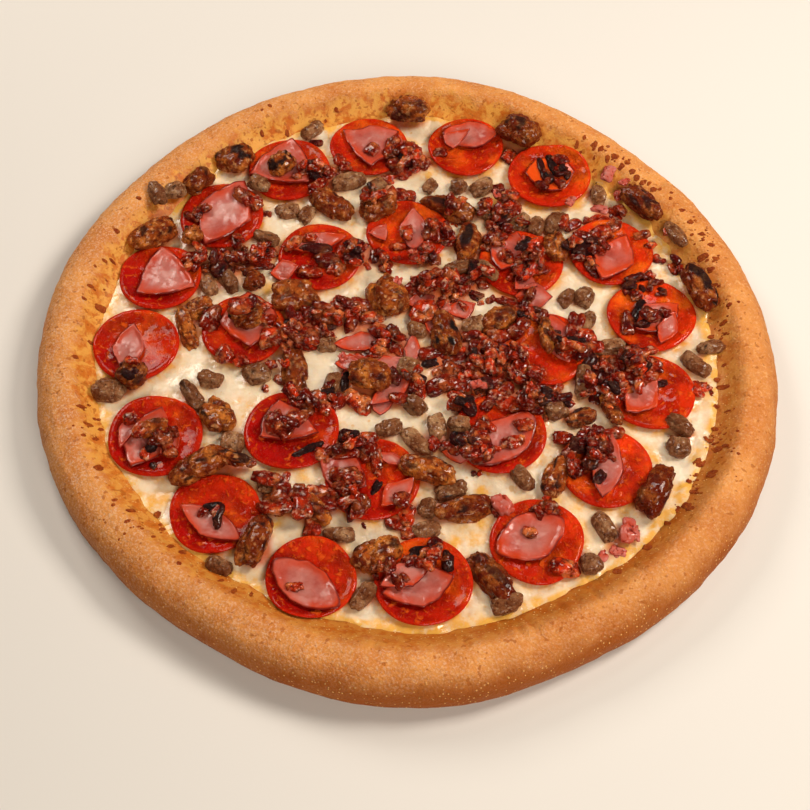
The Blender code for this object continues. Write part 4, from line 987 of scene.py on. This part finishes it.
def make_cheese(material, landscape):
    """Melted cheese, which climbs a little round whatever lies in it and runs up the foot of the rim."""
    x, y = landscape.x, landscape.y
    covered = (landscape.top > landscape.ground + 0.5 * MM).astype(float)
    near_meat = blurred(covered, 5)
    climb = blurred(covered, 3) * CHEESE_CLIMB
    waves = rough_noise(plan_points(x[::2, ::2], y[::2, ::2]), 9 * MM, 3, 11).reshape(x[::2, ::2].shape)
    oil = np.zeros_like(x)
    for slice_x, slice_y, radius, _ in PEPPERONI:
        away = np.hypot(x - slice_x * MM, y - slice_y * MM) - radius * MM
        oil = np.maximum(oil, np.exp(-np.clip(away, 0, None) / OIL_REACH))
    oil = np.maximum(0.9 * oil, 0.55 * smooth_step(near_meat, 0.15, 0.8))
    oil = np.maximum(oil, 0.8 * round_spots(x, y, OIL_DROPS))

    flat, faces, rim = disc_net(CHEESE_NET)
    angle = np.arctan2(flat[:, 1], flat[:, 0])
    edge_radius = outline_radius(angle) - rim_width(angle)
    reach = edge_radius + CHEESE_TUCK
    px, py = flat[:, 0] * reach, flat[:, 1] * reach
    plan = plan_points(px, py)
    cell = landscape.cells(px, py, landscape.top)
    coarse = tuple(np.clip(index // 2, 0, size - 1) for index, size in zip(cell, waves.shape))
    border = np.hypot(px, py) - edge_radius
    height = cheese_height(px, py) + climb[cell] + CHEESE_WAVES * waves[coarse]
    height += EDGE_LIFT * smooth_step(border, -6 * MM, 0) * (1 + soft_noise(plan, 8 * MM, 12))
    low = np.stack([px[rim] * 0.99, py[rim] * 0.99, np.full(len(rim), BASE_THICKNESS + GAP)], axis=-1)
    points = np.concatenate([np.stack([px, py, height], axis=-1), low, [(0, 0, BASE_THICKNESS + GAP)]])
    loop = np.arange(len(flat), len(flat) + len(rim))
    all_faces = [faces, ring_faces(loop, rim), fan_faces(loop[::-1], len(points) - 1)]

    ragged = border + 4 * MM * rough_noise(plan, 9 * MM, 2, 13)
    golden = np.maximum(0.85 * smooth_step(ragged, -5 * MM, 1 * MM), smooth_step(border, -2 * MM, 0.5 * MM))
    spots = 0.9 * round_spots(px, py, CHEESE_SPOTS, 0.3 * soft_noise(plan, 3 * MM, 14))
    # Painted shade and meat juice: the cheese is darkened where toppings crowd round it.
    juice_and_shade = 0.85 * smooth_step(near_meat, 0.42, 0.82)
    masks = {"oil": np.clip(oil, 0, 1)[cell], "golden": np.maximum(golden, spots), "juice_and_shade": juice_and_shade[cell]}
    unseen = np.zeros(len(rim) + 1)
    masks = {key: np.concatenate([values, unseen]) for key, values in masks.items()}
    add_piece("melted_cheese", points, all_faces, material, ("cheese",), masks)


# Sheets of meat

def make_pepperoni(material, landscape):
    """Round slices, cupped and a little uneven, each a piece of its own."""
    net = disc_net(SLICE_NET)
    draw = np.random.default_rng(21)
    for number, (x, y, radius, curl) in enumerate(PEPPERONI, 1):
        place = np.array((x, y)) * MM
        waves = draw.uniform(-0.35, 0.35, 3)
        phase = draw.uniform(0, 2 * math.pi, 3)
        # Tone is partly random and partly painted light: slices further to the right are made lighter.
        tone = 0.25 + 0.45 * smooth_step(x + 0.4 * y, -90, 120) + draw.uniform(-0.15, 0.15)

        def outline(angle):
            stray = sum(waves[k] * np.cos((k + 2) * angle + phase[k]) for k in range(3))
            return (radius + stray) * MM

        def underside(px, py):
            share = np.hypot(px - place[0], py - place[1]) / (radius * MM)
            laid = cheese_height(px, py) + 1.7 * GAP + curl * MM * share**3
            return np.maximum(laid, ground_height(px, py) + 2 * GAP)

        def relief(px, py, share):
            dimples = rough_noise(plan_points(px, py), 3.2 * MM, 2, number)
            ridge = np.exp(-(((share - 0.93) / 0.05) ** 2))
            return 0.16 * MM * dimples + 0.35 * MM * ridge - 0.25 * MM * (1 - share)

        points, faces, share = sheet_points(place, net, outline, underside, SLICE_THICKNESS, relief)
        # Painted light: each slice is made lighter toward its upper right and darker toward its lower left.
        painted_light_lean = ((points[:, :2] - place) @ (0.5, 0.6)) / (radius * MM)
        masks = {"share": share, "tone": np.clip(tone + 0.45 * painted_light_lean, 0, 1)}
        node = f"pepperoni_{number:02d}"
        add_piece(f"slice_{number:02d}", points, faces, material, (node,), masks)
        part = landscape.window(*place, (radius + 1) * MM)
        grid_x, grid_y = landscape.x[part], landscape.y[part]
        inside = np.hypot(grid_x - place[0], grid_y - place[1]) < radius * MM
        landscape.cover(part, inside, underside(grid_x, grid_y) + SLICE_THICKNESS)


def ham_reach(angle, length, width, turn, corners):
    """Distance from a piece of ham's middle to its outline: a stretched polygon with soft corners."""
    along = np.cos(angle - turn) / (length / 2)
    across = np.sin(angle - turn) / (width / 2)
    if corners == 2:
        return (abs(along) ** 1.55 + abs(across) ** 1.55) ** (-1 / 1.55)
    part = 2 * math.pi / corners
    local = (np.arctan2(across, along) + part / 2) % part - part / 2
    polygon = math.cos(part / 2) / np.cos(part / 2 - abs(local))
    return (0.35 + 0.65 * polygon) / np.hypot(along, across)


def make_ham_sheet(name, row, number, nodes, lift, material, landscape):
    """One torn piece of ham with turned-up ends and ripples, sagging a little onto what lies under it."""
    x, y, length, width = (value * MM for value in row[:4])
    turn = math.radians(row[4])
    corners = row[5]
    part = landscape.window(x, y, 0.62 * length)
    grid_x, grid_y = landscape.x[part], landscape.y[part]
    away = np.arctan2(grid_y - y, grid_x - x)
    inside = np.hypot(grid_x - x, grid_y - y) < ham_reach(away, length, width, turn, corners)
    rest = landscape.top[part][inside].max() + 2 * GAP
    sunk = blurred(landscape.top[part], 4)

    def outline(angle):
        torn = rough_noise(np.stack([np.cos(angle), np.sin(angle), 0 * angle + number], axis=-1), 0.8, 3, 31)
        return ham_reach(angle, length, width, turn, corners) * (1.03 + 0.08 * torn)

    def underside(px, py):
        along, across = turned(px - x, py - y, turn)
        along = along / (length / 2)
        across = across / (width / 2)
        ripple = HAM_RIPPLE * (0.5 + 0.5 * np.sin(3.1 * along + 1.7 * across + number))
        bed = sunk[landscape.cells(px, py, sunk, (part[0].start, part[1].start))] + 2 * GAP
        curl = HAM_CURL * np.clip(abs(along) - 0.25, 0, 1) ** 2 * (0.4 + lift)
        return bed + lift * (rest - bed + ripple) + curl

    def relief(px, py, share):
        return 0.28 * MM * rough_noise(plan_points(px, py), 6.5 * MM, 3, 40 + number)

    points, faces, share = sheet_points((x, y), disc_net(HAM_NET), outline, underside, HAM_THICKNESS, relief)
    frill = rough_noise(points, 11 * MM, 2, 60 + number)
    points[:, 2] += 1.1 * MM * smooth_step(share, 0.72, 1.0) * np.clip(frill + 0.35, 0, None)
    browned = HAM_BROWNED.get(number, 0.0) if nodes else SCRAP_BROWNED
    masks = {"share": share, "warm": smooth_step(share, 0.38, 0.98) + browned}
    add_piece(name, points, faces, material, nodes, masks)
    landscape.cover(part, inside, underside(grid_x, grid_y) + HAM_THICKNESS)


def make_ham(material, landscape):
    for number, row in enumerate(HAM, 1):
        node = f"ham_{number:02d}"
        make_ham_sheet(f"ham_piece_{number:02d}", row, number, (node,), 0.25, material, landscape)
    for number, row in enumerate(HAM_SCRAPS, 1):
        make_ham_sheet(f"ham_scrap_{number:02d}", row, 30 + number, (), 0.15, material, landscape)


# Lumps of meat

def scaled_row(x, y, length, width, turn):
    return (x * MM, y * MM, length * MM, width * MM, math.radians(turn))


def laid_plan(ball, x, y, length, width, turn):
    """Where the points of a unit ball come to lie once it is stretched, turned and put in its place."""
    heading = np.array((math.cos(turn), math.sin(turn)))
    side = np.array((-heading[1], heading[0]))
    plan = np.outer(ball[:, 0] * length / 2, heading) + np.outer(ball[:, 1] * width / 2, side)
    return x + plan[:, 0], y + plan[:, 1]


def settle(landscape, x, y, length, width, turn, flatness, share, sink):
    """The height of a lump's widest line, and how far the lump reaches below and above that line.

    It rests on the highest share of what lies under it, sunk in a little. A heap grows no higher than
    HEAP_TOP: there the lumps lie deeper among each other.
    """
    part = landscape.window(x, y, 0.55 * length)
    along, across = turned(landscape.x[part] - x, landscape.y[part] - y, turn)
    far = np.hypot(along / (length / 2), across / (width / 2))
    full = np.sqrt(np.clip(1 - far**2, 0, None))
    inside = full > 0.05
    below = LUMP_BELOW * flatness * width
    above = (1 - LUMP_BELOW) * flatness * width
    contact = (landscape.top[part] + below * full**0.6)[inside]
    mid = min(np.quantile(contact, share) - sink, HEAP_TOP - above)
    landscape.cover(part, inside, mid + 0.93 * above * full)
    return mid, below, above


def joined_balls(ball, look, draw):
    """How far a cluster of a few balls reaches in each direction, and how far that is from a seam."""
    reaches = []
    for _ in range(look["balls"]):
        spot = draw.normal(size=3) * (1, 1, 0.7)
        spot *= draw.uniform(0.55, 1.0) * look["apart"] / np.linalg.norm(spot)
        along = ball @ spot
        radius = (1 - look["apart"]) * draw.uniform(0.92, 1.12)
        reaches.append(along + np.sqrt(np.maximum(radius**2 - spot @ spot + along**2, 0.02)))
    order = np.sort(reaches, axis=0)
    scale = look["fill"] / order[-1].mean()
    return order[-1] * scale, (order[-1] - order[-2]) * scale


def pebbles(places, sides, size, draw):
    """Rounded grains of a size over a lump: 0 in the cracks between them, 1 on their middles."""
    count = max(6, round(11 * sides[0] * sides[1] / size**2))
    seeds = draw.normal(size=(count, 3))
    seeds *= sides / np.linalg.norm(seeds, axis=1, keepdims=True)
    near = np.sort(((places[:, None, :] - seeds) ** 2).sum(axis=2), axis=1)[:, :2]
    gap = np.sqrt(near[:, 1]) - np.sqrt(near[:, 0])
    return np.clip(1.8 * gap / size, 0, 1) ** 0.6


def make_lump(net, row, bed, look, draw, tone=None):
    """One lump: its points, its grain, char and tone at each point, and its faces.

    The bed is a landscape and how the lump settles on it: its flatness, the share of what it rests on
    and how far it sinks in.
    """
    ball, faces = net
    row = scaled_row(*row)
    mid, below, above = settle(bed[0], *row, *bed[1:])
    sides = np.array((row[2], row[3], below + above)) / 2
    places = ball * sides
    bends = rough_noise(ball + draw.uniform(0, 50, 3), 0.8, 2, 1)
    reach, seam = joined_balls(ball, look, draw)
    seam = smooth_step(seam, 0.0, look["seam"])
    grains = pebbles(places, sides, look["pebble"] * MM, draw)
    crumbs = rough_noise(places + draw.uniform(0, 1, 3), 0.8 * look["pebble"] * MM, 2, 2)
    pits = look["depth"] * MM * (1 - 0.7 * crumbs - grains + 0.5 * (1 - seam)) / sides.mean()
    reach = np.clip(reach * (1 + look["bend"] * bends) - pits, 0.35, 1.25)
    shaped = np.sign(ball) * abs(ball) ** look["blunt"] * reach[:, None]
    high = np.where(shaped[:, 2] > 0, above * shaped[:, 2], below * shaped[:, 2])
    points = np.column_stack([*laid_plan(shaped, *row), mid + high])
    stray = 0.75 * draw.random()
    spot = rough_noise(ball + draw.uniform(0, 50, 3), 0.7, 2, 3)
    char = smooth_step(spot + 0.35 * ball[:, 2], look["char"], look["char"] + 0.35)
    char = char * (0.5 + 0.5 * draw.random())
    tone = stray if tone is None else tone
    # The grain mask is low in the cracks, where the materials paint shade.
    masks = {"grain": grains * (0.3 + 0.7 * seam), "char": char, "tone": np.full(len(ball), tone)}
    return points, masks, faces


def join_lumps(name, lumps, material):
    """Joins lumps, given as points, masks and faces, into one piece."""
    starts = np.cumsum([0] + [len(points) for points, _, _ in lumps])
    points = np.concatenate([points for points, _, _ in lumps])
    all_faces = [faces + start for (_, _, faces), start in zip(lumps, starts)]
    masks = {key: np.concatenate([values[key] for _, values, _ in lumps]) for key in lumps[0][1]}
    add_piece(name, points, all_faces, material, (), masks)


def make_sausage(material, landscape):
    """The loose lumps, each a piece of its own, then the baked-on ones in one piece."""
    draw = np.random.default_rng(31)
    net = ball_net(20)
    bed = (landscape, SAUSAGE_FLATNESS, 0.93, 0.3 * MM)
    for number, row in enumerate(SAUSAGE, 1):
        points, masks, faces = make_lump(net, row, bed, SAUSAGE_LOOK, draw, SAUSAGE_TONES.get(number))
        node = f"sausage_{number:02d}"
        add_piece(f"sausage_lump_{number:02d}", points, [faces], material, (node,), masks)
    net = ball_net(16)
    bed = (landscape, SAUSAGE_FLATNESS, 0.75, 0.6 * MM)
    lumps = [make_lump(net, row, bed, SAUSAGE_LOOK, draw) for row in BAKED_SAUSAGE]
    join_lumps("baked_sausage", lumps, material)


def make_beef(material, landscape):
    draw = np.random.default_rng(32)
    net = ball_net(12)
    bed = (landscape, BEEF_FLATNESS, 0.75, 0.5 * MM)
    lumps = [make_lump(net, row, bed, BEEF_LOOK, draw) for row in BEEF]
    join_lumps("beef_pellets", lumps, material)


def scattered(x, y, spread_x, spread_y, draw):
    """A random place in an oval round a middle."""
    away = math.sqrt(draw.random())
    way = 2 * math.pi * draw.random()
    return x + spread_x * away * math.cos(way), y + spread_y * away * math.sin(way)


def heap_rows():
    """The large bacon crumbs, scattered round the middle of each heap."""
    draw = np.random.default_rng(7)
    rows = []
    for x, y, spread_out, count in BACON_HEAPS:
        for _ in range(count):
            middle = scattered(x, y, spread_out, spread_out, draw)
            length = draw.uniform(*CRUMB_LENGTHS)
            width = draw.uniform(*CRUMB_WIDTHS)
            rows.append((*middle, length, width, draw.uniform(0, 180)))
    return rows


def bacon_crumb(net, row, bed, shade, draw):
    """A ragged crumb, from orange at shade 0 to charred at 1."""
    points, masks, faces = make_lump(net, row, bed, CRUMB_LOOK, draw, shade)
    masks["char"] = np.clip(masks["char"] * (0.2 + 0.6 * shade) + 0.85 * smooth_step(shade, 0.86, 0.99), 0, 1)
    return points, masks, faces


def make_bacon(material, landscape):
    """Large crumbs and pieces, then small bits that cling together in clumps, all in one piece."""
    large, middling, small = ball_net(6), ball_net(5), ball_net(4)
    draw = np.random.default_rng(33)
    bed = (landscape, BACON_FLATNESS * 0.9, 0.6, 0.6 * MM)
    crumbs = [bacon_crumb(middling, row[:5], bed, row[5], draw) for row in BACON_PIECES]
    bed = (landscape, BACON_FLATNESS, 0.7, 0.4 * MM)
    for row in heap_rows():
        crumbs.append(bacon_crumb(large, row, bed, draw.uniform(0.3, 0.85), draw))
    bed = (landscape, BACON_FLATNESS * 1.2, 0.6, 0.5 * MM)
    for x, y, spread_x, spread_y, count, char in BACON_BITS:
        for bit in range(round(count * BITS_MORE)):
            if bit % CLUMP == 0:
                clump = scattered(x, y, spread_x, spread_y, draw)
            length = draw.uniform(4.0, 8.0) if draw.random() < 0.8 else draw.uniform(8.0, 11.5)
            width = min(length * draw.uniform(0.5, 0.85), 5.0)
            bit_x, bit_y = (middle + CLUMP_SPREAD * draw.normal() for middle in clump)
            row = (bit_x, bit_y, length, width, draw.uniform(0, 360))
            shade = draw.uniform(0.0, 0.95) if draw.random() > char * 0.7 else draw.uniform(0.8, 1.0)
            crumbs.append(bacon_crumb(small, row, bed, shade, draw))
    join_lumps("bacon_bits", crumbs, material)


def make_dice(material, landscape):
    """Small dice of ham."""
    net = ball_net(7)
    draw = np.random.default_rng(34)
    bed = (landscape, 0.45, 0.7, 0.3 * MM)
    dice = []
    for x, y, size in PINK_DICE:
        row = (x, y, size, size * draw.uniform(0.6, 0.85), draw.uniform(0, 180))
        points, masks, faces = make_lump(net, row, bed, DICE_LOOK, draw)
        # Painted shade: the cracks between grains take the ham's dark rim colour, and its orange edge colour.
        crack_shade = 1 - masks["grain"]
        dice.append((points, {"share": 0.72 + 0.28 * crack_shade, "warm": 0.1 + 0.8 * crack_shade}, faces))
    join_lumps("pink_dice", dice, material)


def skin_height(x, y):
    """Height of the crust's skin on the rim's top and inner slope, with its relief."""
    inset, angle = rim_place(x, y)
    surface = slope_height(np.clip(inset, RIM_CROWN, None), angle)
    outside = np.clip(RIM_CROWN - inset, 0, None) / RIM_CROWN
    surface -= (RIM_HEIGHT - SIDE_HEIGHT) * (1 - np.sqrt(np.clip(1 - outside**UPPER_ROUNDING, 0, 1)))
    return surface + crust_relief(np.column_stack([x, y, surface]), surface / RIM_HEIGHT)


def make_specks(material):
    """Flat scorched spots that lie on the rim's slope."""
    large, small = ball_net(6), ball_net(4)
    draw = np.random.default_rng(35)
    rows = []
    for x, y, size in TOASTED_SPECKS:
        rows.append((x, y, size * draw.uniform(0.9, 1.3), size * draw.uniform(0.6, 0.95)))
    for x, y, spread_x, spread_y, count in FINE_SPECKS:
        for _ in range(count):
            size = 0.95 + 1.6 * draw.random() ** 2
            rows.append((x + spread_x * draw.normal(), y + spread_y * draw.normal(), size, size * 0.8))
    specks = []
    for x, y, length, width in rows:
        inset, angle = rim_place(x * MM, y * MM)
        if not 5 * MM < inset < RIM_WIDTH + 2 * MM:
            continue
        row = scaled_row(x, y, length, width, math.degrees(angle) + draw.uniform(-25, 25))
        ball, faces = large if length > 2.6 else small
        bends = rough_noise(ball + draw.uniform(0, 50, 3), 0.8, 2, 4)
        shaped = ball * (0.85 + 0.3 * bends)[:, None]
        px, py = laid_plan(shaped, *row)
        high = skin_height(px, py) + SPECK_HEIGHT * shaped[:, 2]
        specks.append((np.column_stack([px, py, high]), {}, faces))
    join_lumps("toasted_specks", specks, material)


# Stage

def make_stage():
    """A plain pale floor, soft studio light and the camera."""
    mesh = bpy.data.meshes.new("floor")
    corners = [(x * FLOOR_REACH, y * FLOOR_REACH, 0) for x, y in ((-1, -1), (1, -1), (1, 1), (-1, 1))]
    mesh.from_pydata(corners, [], [(0, 1, 2, 3)])
    floor = add_object("floor", mesh)
    floor.location.z = -GAP
    material = new_material("pale floor", Base_Color=(0.78, 0.76, 0.72, 1), Roughness=0.8)[0]
    mesh.materials.append(material)

    world = bpy.data.worlds.new("studio")
    world.use_nodes = True
    feed(world.node_tree.nodes["Background"], {"Color": (1.0, 0.80, 0.60), "Strength": 0.05})
    bpy.context.scene.world = world
    bpy.context.scene.view_settings.view_transform = "Standard"

    for name, place, width, power, tint in LIGHTS:
        data = bpy.data.lights.new(name, "AREA")
        data.size = width
        data.energy = power
        data.color = tint
        light = add_object(name, data)
        light.location = place
        light.rotation_euler = (-Vector(place)).to_track_quat("-Z", "Y").to_euler()

    data = bpy.data.cameras.new("camera")
    data.lens = VIEW_LENS
    camera = add_object("camera", data)
    back = Vector((0, -math.cos(VIEW_ELEVATION), math.sin(VIEW_ELEVATION)))
    camera.location = VIEW_TARGET + VIEW_DISTANCE * back
    camera.rotation_euler = (math.pi / 2 - VIEW_ELEVATION, 0, 0)
    bpy.context.scene.camera = camera


def main():
    make_stage()
    landscape = Landscape()
    ham = make_ham_material()
    sausage = make_lump_material(
        "browned sausage", light=(0.48, 0.10, 0.013), dark=(0.13, 0.008, 0.001), pale=(0.84, 0.27, 0.040),
        fat=(0.88, 0.42, 0.16), crack_shade=(0.08, 0.004, 0.001), cloud_scale=190.0, dry=0.5, wet=0.16, coat=0.5,
        depth=0.0012, grain_scale=620.0)
    beef = make_lump_material(
        "ground beef", light=(0.45, 0.195, 0.080), dark=(0.16, 0.040, 0.011), pale=(0.56, 0.31, 0.15),
        fat=(0.70, 0.44, 0.25), crack_shade=(0.08, 0.011, 0.002), cloud_scale=170.0, dry=0.5, wet=0.18, coat=0.45,
        depth=0.0012, grain_scale=800.0)
    bacon = make_lump_material(
        "bacon crumbs", light=(0.92, 0.056, 0.008), dark=(0.11, 0.001, 0.0005), pale=(0.98, 0.30, 0.080),
        fat=(0.98, 0.56, 0.36), crack_shade=(0.07, 0.002, 0.001), cloud_scale=230.0, dry=0.24, wet=0.06, coat=1.0,
        depth=0.0015, grain_scale=640.0)
    make_crust(make_crust_material())
    make_pepperoni(make_pepperoni_material(), landscape)
    make_ham(ham, landscape)
    make_sausage(sausage, landscape)
    make_beef(beef, landscape)
    make_bacon(bacon, landscape)
    make_dice(ham, landscape)
    make_specks(make_speck_material())
    make_cheese(make_cheese_material(), landscape)


main()
